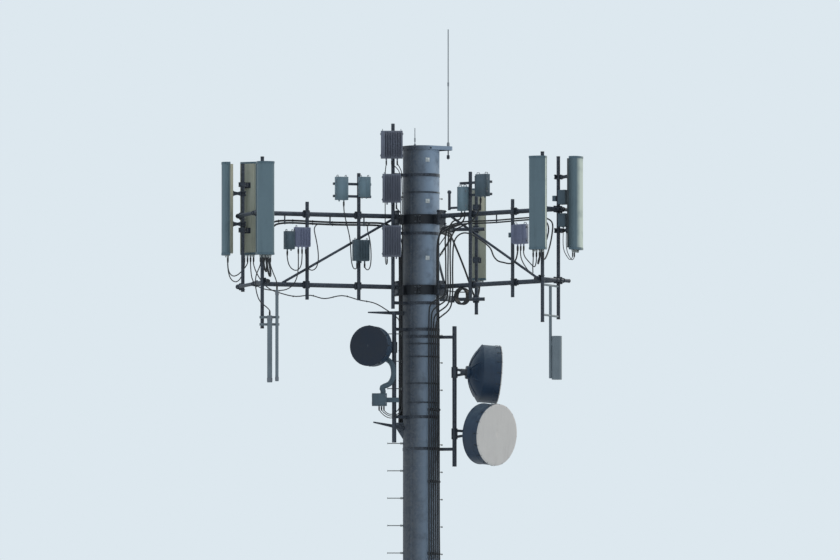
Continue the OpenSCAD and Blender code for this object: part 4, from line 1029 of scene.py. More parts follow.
@dataclass
class Piece:
    """One visual piece, joined from stamped fittings and round wires."""

    name: str
    finish: Finish
    points: list[np.ndarray] = field(default_factory=list)
    faces: list[list[int]] = field(default_factory=list)
    wires: list[tuple[list[Vector], float, bool]] = field(default_factory=list)
    tube: Tube = Tube.PLAIN
    count: int = 0

    def stamp(self, template: Template, place: Matrix) -> None:
        """Adds a fitting at a place.

        Args:
            template: The fitting.
            place: Its place and turn.
        """
        turn = np.array(place.to_3x3())
        self.points.append(template.points @ turn.T + np.array(place.translation))
        self.faces += [[i + self.count for i in f] for f in template.faces]
        self.count += len(template.points)

    def wire(self, points: Iterable[Vector], radius: float, closed: bool = False) -> None:
        """Adds a round wire along a list of points."""
        self.wires.append(([Vector(p) for p in points], radius, closed))

    def wire_mesh(self) -> Mesh:
        """Makes one mesh of all the wires."""
        curve = bpy.data.curves.new(self.name + "_wires", "CURVE")
        curve.dimensions = "3D"
        curve.bevel_depth = 1.0
        curve.bevel_resolution = self.tube.value
        curve.use_fill_caps = True
        for points, radius, closed in self.wires:
            spline = curve.splines.new("POLY")
            spline.points.add(len(points) - 1)
            spline.use_cyclic_u = closed
            for target, p in zip(spline.points, points):
                target.co = (*p, 1.0)
                target.radius = radius
        mesh = evaluated(linked(curve.name, curve))
        bpy.data.curves.remove(curve)
        return mesh

    def build(self) -> None:
        """Joins everything into one object that rides on the tower."""
        if not self.points and not self.wires:
            return
        mesh = bpy.data.meshes.new(self.name)
        if self.points:
            mesh.from_pydata(np.concatenate(self.points).tolist(), [], self.faces)
        bm = bmesh.new()
        bm.from_mesh(mesh)
        if self.wires:
            wires = self.wire_mesh()
            bm.from_mesh(wires)
            bpy.data.meshes.remove(wires)
        bmesh.ops.remove_doubles(bm, verts=bm.verts, dist=MERGE_BUILT)
        bmesh.ops.recalc_face_normals(bm, faces=bm.faces)
        bm.to_mesh(mesh)
        bm.free()
        show(self.name, mesh, [self.finish])


@dataclass(frozen=True)
class Box:
    """The box of one solid of a CAD node, in a frame turned about the pole."""

    azimuth: float
    low: Vector
    high: Vector

    @classmethod
    def around(cls, azimuth: float, points: Iterable[Vector]) -> "Box":
        """Gives the box round some points of the tower in the frame of an azimuth.

        Args:
            azimuth: Turn of the frame, in degrees.
            points: The points.

        Returns:
            The box.
        """
        back = Matrix.Rotation(math.radians(-azimuth), 4, "Z")
        turned = [back @ p for p in points]
        return cls(azimuth, *(Vector([end(p[i] for p in turned) for i in range(3)]) for end in (min, max)))

    @property
    def size(self) -> Vector:
        """Length of each side."""
        return self.high - self.low

    @property
    def middle(self) -> Vector:
        """Centre of the box."""
        return (self.low + self.high) / 2

    def holds(self, p: Vector) -> bool:
        """Tells whether a point of the box's frame lies in it."""
        return all(self.low[i] - TOUCH < p[i] < self.high[i] + TOUCH for i in range(3))


@dataclass(frozen=True)
class Turned:
    """A frame turned about the pole's axis, with +X outwards along a boom."""

    azimuth: float

    @property
    def matrix(self) -> Matrix:
        """The frame's turn."""
        return Matrix.Rotation(math.radians(self.azimuth), 4, "Z")

    def at(self, x: float, y: float, z: float) -> Vector:
        """Gives the tower's place of a point in this frame."""
        return self.matrix @ Vector((x, y, z))

    def facing(self, place: Sequence[float], axis: Sequence[float], twist: float = 0.0) -> Matrix:
        """Gives the matrix that puts a fitting at a place with its +Z along an axis.

        Args:
            place: Point in this frame.
            axis: Direction in this frame.
            twist: Turn in degrees about the axis.

        Returns:
            The matrix in the tower's frame.
        """
        turn = Vector(axis).to_track_quat("Z", "Y").to_matrix().to_4x4()
        spin = Matrix.Rotation(math.radians(twist), 4, "Z")
        return self.matrix @ Matrix.Translation(place) @ turn @ spin

    def framed(self, place: Sequence[float], normal: Sequence[float], along: Sequence[float]) -> Matrix:
        """Gives the matrix that puts +Z along a normal and +Y along a second direction of this frame.

        Args:
            place: Point in this frame.
            normal: Direction of +Z.
            along: Direction of +Y.

        Returns:
            The matrix in the tower's frame.
        """
        z, y = Vector(normal), Vector(along)
        turn = Matrix((y.cross(z), y, z)).transposed().to_4x4()
        return self.matrix @ Matrix.Translation(place) @ turn

    def boxes(self, node: str) -> list[Box]:
        """Finds the box of each solid of a CAD node, in this frame."""
        found = [Box.around(self.azimuth, points) for points in islands(node)]
        return sorted(found, key=lambda b: tuple(round(v, 3) for v in b.low))


@functools.lru_cache(maxsize=None)
def islands(node: str) -> list[list[Vector]]:
    """Splits a CAD node's mesh into its solids.

    Args:
        node: The CAD node.

    Returns:
        The points of each solid.
    """
    bm = merged(node)
    found = []
    seen: set[int] = set()
    bm.verts.ensure_lookup_table()
    for start in bm.verts:
        if start.index in seen:
            continue
        seen.add(start.index)
        group, todo = [], [start]
        while todo:
            vert = todo.pop()
            group.append(vert.co.copy())
            for edge in vert.link_edges:
                other = edge.other_vert(vert)
                if other.index not in seen:
                    seen.add(other.index)
                    todo.append(other)
        found.append(group)
    bm.free()
    return found


@dataclass
class Clamps:
    """U-bolts that hold crossing pipes on both sides of a clamp plate."""

    rods: Piece
    rod: float = 0.0055
    tail: float = 0.014
    thread: float = 0.011
    bend_steps: int = 10
    upper_room: float = 0.014
    lower_room: float = 0.017

    def u_bolt(self, place: Matrix, pipe: float, lift: float, back: float) -> None:
        """Adds one U-bolt with its two nuts.

        Args:
            place: Frame with the plate's face at its origin, the pipe along +Y and +Z towards the pipe.
            pipe: Radius of the pipe.
            lift: Height of the pipe's axis over the plate's face.
            back: Thickness of the plate.
        """
        w, end = pipe + self.rod, -back - self.tail
        across, over = place.to_3x3() @ Vector((1, 0, 0)), place.to_3x3() @ Vector((0, 0, 1))
        centre = place @ Vector((0, 0, lift))
        angles = [math.radians(180 * i / self.bend_steps) for i in range(self.bend_steps + 1)]
        bend = [centre + w * (math.cos(a) * across + math.sin(a) * over) for a in angles]
        self.rods.wire([place @ Vector((w, 0, end)), *bend, place @ Vector((-w, 0, end))], self.rod)
        turn = Matrix.Rotation(math.pi, 4, "X")
        for side in (w, -w):
            nut = place @ Matrix.Translation((side, 0, -back)) @ turn
            self.rods.stamp(KIT.bolt(self.thread, 0.2), nut)

    def crossing(self, place: Matrix, upper: float, lower: float, thick: float, gap: float) -> None:
        """Adds the four U-bolts of a plate between two crossing pipes.

        Args:
            place: Frame at the plate's middle, +Z to the upper pipe; that runs along +Y, the lower along +X.
            upper: Radius of the upper pipe.
            lower: Radius of the lower pipe.
            thick: Thickness of the plate.
            gap: Distance of each pipe from the plate.
        """
        flip = Matrix.Rotation(math.pi, 4, "X") @ Matrix.Rotation(math.pi / 2, 4, "Z")
        for side in (-1, 1):
            above = Matrix.Translation((0, side * (lower + self.lower_room), thick / 2))
            below = Matrix.Translation((0, side * (upper + self.upper_room), thick / 2))
            self.u_bolt(place @ above, upper, upper + gap, thick)
            self.u_bolt(place @ flip @ below, lower, lower + gap, thick)


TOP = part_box("pole_top_section")[1].z
TOWER = Turned(0.0)
SECTORS = {"left": Turned(200.0), "right": Turned(320.0), "rear": Turned(80.0)}


def pole_radius(z: float) -> float:
    """Gives the pole's radius at a height."""
    return next(radius for _, high, radius in SECTIONS if z < high)


@dataclass
class Foundation:
    """Nuts on the anchor bolts and welds at the foot of the tower."""

    circle: float = 0.56
    count: int = 12
    plate: float = 0.06
    thread: float = 0.042
    nut_height: float = 0.034
    lower_stud: float = 1.4
    upper_stud: float = 0.6
    rib_span: tuple[float, float] = (0.46, 0.61)
    rib_half: float = 0.007
    rib_bead: float = 0.004
    tube_weld: tuple[float, float] = (0.459, 0.007)

    def build(self) -> None:
        """Adds the nuts, the anchors' ends and the welds."""
        nuts = Piece("anchor_nuts", ANCHOR_STEEL)
        welds = Piece("base_welds", BASE_STEEL)
        for i in range(self.count):
            a = 360 * i / self.count
            low, high = (polar(self.circle, a, self.plate + lift) for lift in (0.0, self.nut_height))
            nuts.stamp(KIT.bolt(self.thread, self.lower_stud), TOWER.facing(low, UP, 11 * i))
            nuts.stamp(KIT.bolt(self.thread, self.upper_stud), TOWER.facing(high, UP, 11 * i + 20))
            rib = a + 180 / self.count
            for side in (-self.rib_half, self.rib_half):
                beside = polar(side, rib + 90)
                welds.wire([polar(r, rib, self.plate) + beside for r in self.rib_span], self.rib_bead)
        welds.stamp(KIT.weld(*self.tube_weld, RING_STEPS), TOWER.facing((0, 0, self.plate), UP))
        nuts.build()
        welds.build()


@dataclass
class PoleFittings:
    """Flange bolts, weld beads, the long seams and the small bosses of the pole."""

    flange_bolts: int = 24
    flange_out: float = 0.047
    flange_half: float = 0.04
    flange_thread: float = 0.024
    first_turn: float = 30.0
    pair_turn: float = 8.0
    course: float = 2.4
    sunk: float = 0.001
    bead: float = 0.0035
    cone_bead: float = 0.005
    cone_drop: float = 0.49
    seam_start: float = 0.31
    seam_end: float = 0.52
    seam_top_end: float = 0.08
    seam_azimuths: Sequence[float] = (248.0, 215.0, 236.0)
    boss_drops: Sequence[float] = (0.23, 0.92, 1.87)
    boss_azimuth: float = 290.0
    boss_width: float = 0.07
    boss_thick: float = 0.010
    boss_thread: float = 0.026

    def build(self) -> None:
        """Adds all of them."""
        self.flanges()
        self.welds()
        self.bosses()

    def flanges(self) -> None:
        """Bolts the two flanged joints."""
        joints = Piece("flange_bolts", ANCHOR_STEEL)
        for z, _, radius in SECTIONS[1:]:
            r = radius + self.flange_out
            for i in range(self.flange_bolts):
                a = self.first_turn + 360 * (i // 2) / (self.flange_bolts / 2) + (-1) ** i * self.pair_turn
                upper, lower = polar(r, a, z + self.flange_half), polar(r, a, z - self.flange_half)
                joints.stamp(KIT.bolt(self.flange_thread, 0.7), TOWER.facing(upper, UP, 17 * i))
                joints.stamp(KIT.head(self.flange_thread), TOWER.facing(lower, -UP, 23 * i))
        joints.build()

    def welds(self) -> None:
        """Lays the ring welds and one long seam on each section."""
        beads = Piece("pole_welds", POLE_STEEL)
        for (low, high, radius), seam in zip(SECTIONS, self.seam_azimuths):
            r = radius - self.sunk
            count = max(1, round((high - low) / self.course))
            for i in range(1, count):
                z = low + (high - low) * i / count
                beads.stamp(KIT.weld(r, self.bead, RING_STEPS), TOWER.facing((0, 0, z), UP))
            last = high - self.seam_end if high < TOP else high - self.seam_top_end
            beads.wire([polar(r, seam, z) for z in (low + self.seam_start, last)], self.bead)
            if high < TOP:
                cone = TOWER.facing((0, 0, high - self.cone_drop), UP)
                beads.stamp(KIT.weld(r, self.cone_bead, RING_STEPS), cone)
        beads.build()

    def bosses(self) -> None:
        """Adds the bosses near the pole's top, their light colour a painted glint."""
        bosses = Piece("pole_bosses", GLINT_BOSS_STEEL)
        for drop in self.boss_drops:
            z = TOP - drop
            place = TOWER.facing(polar(pole_radius(z), self.boss_azimuth, z), polar(1.0, self.boss_azimuth))
            bosses.stamp(KIT.plate(self.boss_width, self.boss_width, self.boss_thick), place)
            bosses.stamp(KIT.bolt(self.boss_thread, 0.5), place @ Matrix.Translation((0, 0, self.boss_thick)))
        bosses.build()


@dataclass(frozen=True)
class Rod:
    """A rod on the cap: its X, its radius, and the heights of its nut and its joint over the pole."""

    x: float
    radius: float
    nut: float
    joint: float


@dataclass
class CapFittings:
    """Screws of the cap and the nuts and joints of the two rods."""

    skirt: float = 0.321
    screw_azimuths: Sequence[float] = (60, 110, 160, 200, 250, 300)
    screw_drop: float = 0.03
    rods: Sequence[Rod] = (Rod(0.45, 0.009, 0.058, 1.05), Rod(-0.105, 0.007, 0.038, 0.12))
    tail_start: float = 0.002
    tail_end: float = 0.205
    tail_block: float = 0.195

    def build(self) -> None:
        """Adds them."""
        screws = Piece("cap_screws", STRAP_STEEL)
        for a in self.screw_azimuths:
            place = polar(self.skirt, a, TOP - self.screw_drop)
            screws.stamp(KIT.head(0.014), TOWER.facing(place, polar(1.0, a)))
        screws.build()
        nuts = Piece("rod_fittings", ROD_METAL)
        for rod in self.rods:
            width = 2 * rod.radius
            nuts.stamp(KIT.bolt(rod.radius * 2.6, 0.0), TOWER.facing((rod.x, 0, TOP + rod.nut), UP))
            nuts.stamp(KIT.band(width, 0.06, 0.005, 16), TOWER.facing((rod.x, 0, TOP + rod.joint), UP))
            nuts.stamp(KIT.band(width, 0.008, 0.009, 6), TOWER.facing((rod.x, 0, TOP + rod.joint + 0.02), UP))
        nuts.build()
        self.tail(self.rods[0].x)

    def tail(self, x: float) -> None:
        """Adds the tall rod's end below the cap, with its nut and block.

        Args:
            x: The rod's distance from the pole's axis.
        """
        below = Piece("rod_tail", MOUNT_STEEL)
        below.wire([Vector((x, 0, z)) for z in (TOP + self.tail_start, TOP - self.tail_end)], 0.010)
        below.stamp(KIT.bolt(0.026, 0.0), TOWER.facing((x, 0, TOP - self.tail_start), -UP))
        below.stamp(KIT.plate(0.05, 0.05, 0.06, 0.008), TOWER.facing((x, 0, TOP - self.tail_block), UP))
        below.build()


@dataclass
class PegFittings:
    """Lock nuts and weld rings at the feet of the climbing pegs."""

    azimuths: Sequence[float] = (180.0, 52.0)
    row_half: float = 0.05
    ring_out: float = 0.004
    nut_out: float = 0.022

    def build(self) -> None:
        """Adds a ring and a nut to every peg."""
        nuts = Piece("peg_nuts", BASE_STEEL)
        for side in map(Turned, self.azimuths):
            for peg in side.boxes("step_pegs"):
                x, y, z = peg.low.x, peg.middle.y, peg.middle.z
                if abs(y) > self.row_half or peg.middle.x < 0:
                    continue
                ring = side.facing((x + self.ring_out, y, z), (1, 0, 0))
                nut = side.facing((x + self.nut_out, y, z), (1, 0, 0), peg.low.z * 90)
                nuts.stamp(KIT.band(0.024, 0.02, 0.004, 20), ring)
                nuts.stamp(KIT.bolt(0.021, 0.0), nut)
        nuts.build()


@dataclass
class CollarFittings:
    """Draw bolts through the collars' ears and bolts of the booms' plates."""

    ears: Sequence[float] = (260.0, 20.0, 140.0)
    radius: float = 0.3275
    ear_half: float = 0.03
    offset: float = 0.05
    bolt_rise: float = 0.045
    bolt_half: float = 0.05
    ear_face: float = 0.020
    plate_face: float = 0.4533
    plate_back: float = 0.423
    plate_side: float = 0.078
    plate_rows: Sequence[float] = (-0.125, -0.025, 0.078)

    def build(self) -> None:
        """Adds both collars' bolts."""
        ears = Piece("collar_bolts", STRAP_STEEL)
        plates = Piece("boom_plate_bolts", STRAP_STEEL)
        for drop in RAIL_DROPS:
            for side in map(Turned, self.ears):
                self.draw_bolts(ears, side, TOP - drop - self.offset)
            for sector in SECTORS.values():
                self.plate_bolts(plates, sector, TOP - drop)
        ears.build()
        plates.build()

    def draw_bolts(self, ears: Piece, side: Turned, z: float) -> None:
        """Adds the two bolts through one pair of ears.

        Args:
            ears: Takes the bolts.
            side: Frame of the ears.
            z: Height midway between the bolts.
        """
        x = self.radius + self.ear_half
        for dz in (-self.bolt_rise, self.bolt_rise):
            ears.wire([side.at(x, y, z + dz) for y in (-self.bolt_half, self.bolt_half)], 0.008)
            for y in (-1, 1):
                ears.stamp(KIT.bolt(0.017, 0.9), side.facing((x, self.ear_face * y, z + dz), (0, y, 0), 30))

    def plate_bolts(self, plates: Piece, sector: Turned, z: float) -> None:
        """Adds the six bolts of the plate that joins a boom to a collar.

        Args:
            plates: Takes the bolts.
            sector: Frame of the boom.
            z: Height of the rail.
        """
        for dy in (-self.plate_side, self.plate_side):
            for dz in self.plate_rows:
                front = sector.facing((self.plate_face, dy, z + dz), (1, 0, 0), 30 * dz)
                plates.stamp(KIT.bolt(0.018, 0.6), front)
                plates.stamp(KIT.head(0.018), sector.facing((self.plate_back, dy, z + dz), (-1, 0, 0)))


@dataclass
class BoomFittings:
    """U-bolts, pipe caps and welds of one boom with its face pipes, antenna pipes and radio pipes."""

    name: str
    sector: Turned
    side: int
    reach: float = 2.95
    rail: float = 0.038
    pipe: float = 0.030
    gap: float = 0.0003
    long_pipe: float = 1.0
    short_plate: float = 0.2
    face_side: float = 0.042
    face_plate: float = 0.012
    root: float = 0.452
    end_back: float = 0.0125

    def build(self) -> None:
        """Adds all of them."""
        rods = Piece(self.name + "_u_bolts", STRAP_STEEL)
        caps = Piece(self.name + "_pipe_caps", CAP_PLASTIC)
        welds = Piece(self.name + "_boom_welds", MOUNT_STEEL)
        self.crossings(Clamps(rods), caps)
        for box in self.sector.boxes(self.name + "_face_frame"):
            for y, out in ((box.low.y, -1), (box.high.y, 1)):
                self.cap(caps, (box.middle.x, y, box.middle.z), (0, out, 0))
        for drop in RAIL_DROPS:
            for x in (self.root, self.reach - self.pipe - self.end_back):
                welds.stamp(KIT.weld(self.rail, 0.005, 28), self.sector.facing((x, 0, TOP - drop), (1, 0, 0)))
        for piece in (rods, caps, welds):
            piece.build()

    def crossings(self, clamps: Clamps, caps: Piece) -> None:
        """Clamps the upright pipes and the face pipes, and caps the antenna pipes.

        Args:
            clamps: Takes the U-bolts.
            caps: Takes the caps.
        """
        for box in self.sector.boxes(self.name + "_antenna_pipes"):
            if box.size.z > self.long_pipe:
                for z, up in ((box.high.z, 1), (box.low.z, -1)):
                    self.cap(caps, (box.middle.x, box.middle.y, z), (0, 0, up))
                continue
            out = 1.0 if box.middle.x > self.reach else -1.0
            place = self.sector.framed(box.middle, (out, 0, 0), UP)
            clamps.crossing(place, self.pipe, self.pipe, box.size.x, self.gap)
        for box in self.sector.boxes(self.name + "_radio_pipes"):
            if box.size.z < self.short_plate:
                place = self.sector.framed(box.middle, (0, self.side, 0), UP)
                clamps.crossing(place, self.pipe, self.rail, box.size.y, self.gap)
        x = self.reach - self.pipe - self.gap
        for drop in RAIL_DROPS:
            for y in (-self.face_side, self.face_side):
                place = self.sector.framed((x, y, TOP - drop), (1, 0, 0), (0, 1, 0))
                clamps.u_bolt(place, self.pipe, self.pipe + self.gap, self.face_plate)

    def cap(self, caps: Piece, place: Sequence[float], out: Sequence[float]) -> None:
        """Caps one end of a pipe."""
        caps.stamp(KIT.cap(2 * self.pipe), self.sector.facing(place, out))


@dataclass(frozen=True)
class Radio:
    """One radio's housing: its span along the boom, its back and front, and the depths of top and bottom."""

    x0: float
    x1: float
    back: float
    front: float
    top: float
    bottom: float
    finish: Finish
    finned: bool = True

    def holds(self, p: Vector, side: int) -> bool:
        """Tells whether a point of the sector's frame lies on the housing or on its glands.

        Args:
            p: The point.
            side: 1 or -1, by the side of the boom that the radios hang on.

        Returns:
            True where it does.
        """
        return (
            self.x0 - TOUCH < p.x < self.x1 + TOUCH and self.back - TOUCH < side * p.y < self.front + TOUCH
            and self.top - TOUCH < TOP - p.z < self.bottom + GLAND_REACH
        )


LARGE = (0.136, 0.286)
SMALL = (0.1113, 0.221)
SPLICE = (0.136, 0.246)
INNER_RADIO = Radio(1.000, 1.270, *LARGE, 1.590, 1.940, DARK_HOUSING)
OUTER_RADIO = Radio(2.042, 2.304, *LARGE, 1.405, 1.730, RADIO_HOUSING)
SMALL_BOXES = (
    Radio(0.970, 1.160, *SMALL, 0.536, 0.871, BOX_HOUSING, False),
    Radio(1.366, 1.571, *SMALL, 0.545, 0.930, BOX_HOUSING, False),
)
STACK_DEPTH = (0.360, 0.530)
RADIOS = {
    "left": (
        INNER_RADIO, OUTER_RADIO, Radio(2.3175, 2.4825, *SPLICE, 1.475, 1.775, DARK_HOUSING, False),
        *SMALL_BOXES,
    ),
    "right": (
        Radio(2.174, 2.436, *LARGE, 1.405, 1.730, RADIO_HOUSING),
        Radio(0.957, 1.122, *SMALL, 0.720, 1.120, BOX_HOUSING, False),
        Radio(1.347, 1.582, *SMALL, 0.530, 0.900, DARK_HOUSING, False),
    ),
    "rear": (INNER_RADIO, OUTER_RADIO, *SMALL_BOXES),
    "stack": (
        Radio(-0.6725, -0.3075, *STACK_DEPTH, -0.240, 0.220, STACK_HOUSING),
        Radio(-0.645, -0.335, *STACK_DEPTH, 0.480, 0.955, STACK_HOUSING),
        Radio(-0.645, -0.335, *STACK_DEPTH, 1.340, 1.860, STACK_HOUSING),
    ),
}


@dataclass
class RadioDress:
    """The radios of one group: each box with its own finish, its handles, screws, ears and latches."""

    group: str
    sector: Turned
    side: int
    handle_edge: float = 0.03
    handle_wire: float = 0.0055
    ear_inset: float = 0.05
    ear_thick: float = 0.006
    lid_edge: float = 0.018
    latch_inset: float = 0.08
    lid_screws: int = 5

    def build(self) -> None:
        """Shows the housings and dresses every radio of the group."""
        self.shells()
        trim = Piece(self.group + "_radio_trim", TRIM_STEEL)
        for radio in RADIOS[self.group]:
            self.handles(trim, radio)
            if radio.finned:
                self.ears(trim, radio)
            else:
                self.lid(trim, radio)
        trim.build()

    def shells(self) -> None:
        """Copies the CAD node and paints each box apart."""
        node = self.group + "_radios"
        radios = RADIOS[self.group]
        back = self.sector.matrix.inverted()
        bm = merged(node)
        for face in bm.faces:
            p = back @ face.calc_center_median()
            face.material_index = next((i for i, r in enumerate(radios, 1) if r.holds(p, self.side)), 0)
        mesh = written(bm, self.group + "_radio_shells")
        finishes = [DARK_HOUSING] + [r.finish for r in radios]
        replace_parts(show(mesh.name, mesh, finishes, 40.0), node)

    def put(self, x: float, depth: float, drop: float, axis: Sequence[float]) -> Matrix:
        """Places a fitting at a distance along the boom, a depth beside it and a drop from the pole's top."""
        return self.sector.facing((x, self.side * depth, TOP - drop), (axis[0], self.side * axis[1], axis[2]))

    def handles(self, trim: Piece, radio: Radio) -> None:
        """Adds a carrying handle over each side of the lid.

        Args:
            trim: Takes the handles.
            radio: The radio.
        """
        deep = radio.back + (radio.front - radio.back) * (0.52 if radio.finned else 0.8)
        y0, y1, z = radio.back + 0.018, deep, TOP - radio.top
        bow = (
            (y0, z - 0.003), (y0, z + 0.018), (y0 + 0.010, z + 0.028), (y1 - 0.010, z + 0.028),
            (y1, z + 0.018), (y1, z - 0.003),
        )
        for x in (radio.x0 + self.handle_edge, radio.x1 - self.handle_edge):
            trim.wire([self.sector.at(x, self.side * y, h) for y, h in bow], self.handle_wire)

    def ears(self, trim: Piece, radio: Radio) -> None:
        """Adds a bolted ear at each corner of a finned housing's sides, and a row of screws on its lid.

        Args:
            trim: Takes the ears and screws.
            radio: The radio.
        """
        depth = radio.back + self.ear_inset
        for drop in (radio.top + self.ear_inset, radio.bottom - self.ear_inset):
            for x, out in ((radio.x0, -1), (radio.x1, 1)):
                ear = self.put(x, depth, drop, (out, 0, 0))
                bolt = self.put(x + out * self.ear_thick, depth, drop, (out, 0, 0))
                trim.stamp(KIT.plate(0.03, 0.04, self.ear_thick, 0.002), ear)
                trim.stamp(KIT.head(0.008), bolt)
        for k in range(self.lid_screws):
            x = radio.x0 + 0.02 + (radio.x1 - radio.x0 - 0.04) * k / (self.lid_screws - 1)
            trim.stamp(KIT.screw(0.004), self.put(x, radio.back + 0.008, radio.top, (0, 0, 1)))

    def lid(self, trim: Piece, radio: Radio) -> None:
        """Adds the screws of a flat lid and two latches at its side.

        Args:
            trim: Takes the screws and latches.
            radio: The box.
        """
        edge = self.lid_edge
        for x in (radio.x0 + edge, radio.x1 - edge):
            for drop in (radio.top + edge, (radio.top + radio.bottom) / 2, radio.bottom - edge):
                trim.stamp(KIT.screw(0.0045), self.put(x, radio.front, drop, (0, 1, 0)))
        for drop in (radio.top + self.latch_inset, radio.bottom - self.latch_inset):
            latch = self.put(radio.x1, radio.front - 0.03, drop, (1, 0, 0))
            trim.stamp(KIT.plate(0.022, 0.034, 0.007, 0.002), latch)


class PanelPart(Enum):
    """Material index of each part of a panel antenna."""

    FRONT = 0
    TRAY = 1
    CAP = 2
    PLUG = 3


@dataclass
class PanelFittings:
    """The antenna shells of one sector in their tones, and the bolts of their brackets."""

    name: str
    azimuths: Sequence[float]
    front: Finish
    back: Finish
    tray: float = 0.045
    cap: float = 0.035
    plug: float = 0.045
    edge: float = 0.0005
    seam_screws: int = 7
    plug_count: int = 4
    deep_bracket: float = 0.03

    def turned(self, points: Sequence[Vector]) -> tuple[Turned, Box]:
        """Finds the frame of the azimuth in which a solid is smallest.

        Args:
            points: Points of the solid.

        Returns:
            The frame and the solid's box in it.
        """
        best = min((Box.around(a, points) for a in self.azimuths), key=lambda box: box.size.x * box.size.y)
        return Turned(best.azimuth), best

    def build(self) -> None:
        """Builds the shells, their trim and the bracket bolts."""
        self.shells()
        self.bolts()

    def shells(self) -> None:
        """Copies the CAD shells and paints front, tray, caps and connectors apart."""
        node = self.name + "_antennas"
        solids = [self.turned(points) for points in islands(node)]
        bm = merged(node)
        for face in bm.faces:
            centre = face.calc_center_median()
            for sector, box in solids:
                p = sector.matrix.inverted() @ centre
                if box.holds(p):
                    face.material_index = self.part(p, box).value
                    break
        bmesh.ops.dissolve_limit(
            bm, angle_limit=math.radians(0.5), verts=bm.verts, edges=bm.edges, delimit={"MATERIAL"}
        )
        bmesh.ops.recalc_face_normals(bm, faces=bm.faces)
        mesh = written(bm, self.name + "_panel_shells")
        made = show(mesh.name, mesh, [self.front, self.back, SHELL_CAP, PLUG_METAL], 40.0)
        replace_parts(made, node)
        self.trim(solids)

    def part(self, p: Vector, box: Box) -> PanelPart:
        """Tells which part of the panel a face belongs to.

        Args:
            p: The face's middle in the panel's own frame.
            box: The panel's box.

        Returns:
            The part.
        """
        if p.z < box.low.z + self.plug - self.edge:
            return PanelPart.PLUG
        if p.z < box.low.z + self.plug + self.cap - self.edge or p.z > box.high.z - self.cap + self.edge:
            return PanelPart.CAP
        return PanelPart.TRAY if p.x < box.low.x + self.tray + 0.004 else PanelPart.FRONT

    def trim(self, solids: Sequence[tuple[Turned, Box]]) -> None:
        """Adds the seams with their screws, the rings of the connectors and two short pegs between them.

        Args:
            solids: Frame and box of each panel.
        """
        seams = Piece(self.name + "_panel_trim", SHELL_CAP)
        plugs = Piece(self.name + "_panel_plugs", PLUG_METAL)
        for sector, box in solids:
            self.seams(seams, sector, box)
            y, foot = box.middle.y, box.low.z
            for k in range(self.plug_count):
                place = (box.low.x + 0.085, y - 0.084 + 0.056 * k, foot + self.plug - 0.012)
                plugs.stamp(KIT.band(0.032, 0.014, 0.005, 6), sector.facing(place, UP, 15 * k))
            for side in (-1, 1):
                ends = (foot + self.plug + 0.004, foot + 0.012)
                plugs.wire([sector.at(box.low.x + 0.12, y + side * 0.05, z) for z in ends], 0.007)
        seams.build()
        plugs.build()

    def seams(self, seams: Piece, sector: Turned, box: Box) -> None:
        """Adds the seam and the row of screws on both sides of one panel.

        Args:
            seams: Takes them.
            sector: The panel's frame.
            box: Its box.
        """
        x = box.low.x + self.tray + 0.006
        top, foot = box.high.z - self.cap, box.low.z + self.plug + self.cap
        for side in (-1, 1):
            y = box.middle.y + side * (box.size.y / 2 - 0.004)
            seams.wire([sector.at(x, y, foot), sector.at(x, y, top)], 0.0035)
            for k in range(self.seam_screws):
                z = foot + 0.08 + (top - foot - 0.16) * k / (self.seam_screws - 1)
                seams.stamp(KIT.screw(0.004), sector.facing((x + 0.014, y, z), (0, side, 0)))

    def bolts(self) -> None:
        """Adds the long rods that pull each bracket's two plates onto the pipe."""
        rods = Piece(self.name + "_bracket_bolts", STRAP_STEEL)
        for points in islands(self.name + "_antenna_brackets"):
            sector, box = self.turned(points)
            if box.size.x > self.deep_bracket:
                self.arm_bolts(rods, sector, box)
            else:
                self.plate_rods(rods, sector, box)
        rods.build()

    def arm_bolts(self, rods: Piece, sector: Turned, box: Box) -> None:
        """Adds the heads on a bracket's outer plate and the bolts at its arm.

        Args:
            rods: Takes them.
            sector: The bracket's frame.
            box: Its box.
        """
        for dy in (-0.05, 0.05):
            for dz in (-0.028, 0.028):
                place = (box.high.x - 0.008, box.middle.y + dy, box.middle.z + dz)
                rods.stamp(KIT.head(0.010), sector.facing(place, (-1, 0, 0), 20))
        for side in (-1, 1):
            place = (box.low.x + 0.06, box.middle.y + side * 0.036, box.middle.z)
            rods.stamp(KIT.bolt(0.012, 0.3), sector.facing(place, (0, side, 0), 10))

    def plate_rods(self, rods: Piece, sector: Turned, box: Box) -> None:
        """Adds the four rods through a back plate, with a nut at each end.

        Args:
            rods: Takes them.
            sector: The bracket's frame.
            box: The plate's box.
        """
        for dy in (-0.047, 0.047):
            for dz in (-0.026, 0.026):
                x, y, z = box.low.x, box.middle.y + dy, box.middle.z + dz
                rods.wire([sector.at(x - 0.01, y, z), sector.at(x + 0.098, y, z)], 0.005)
                for place, out in (((x, y, z), -1), ((x + 0.0846, y, z), 1)):
                    rods.stamp(KIT.bolt(0.011, 0.3), sector.facing(place, (out, 0, 0), 15))


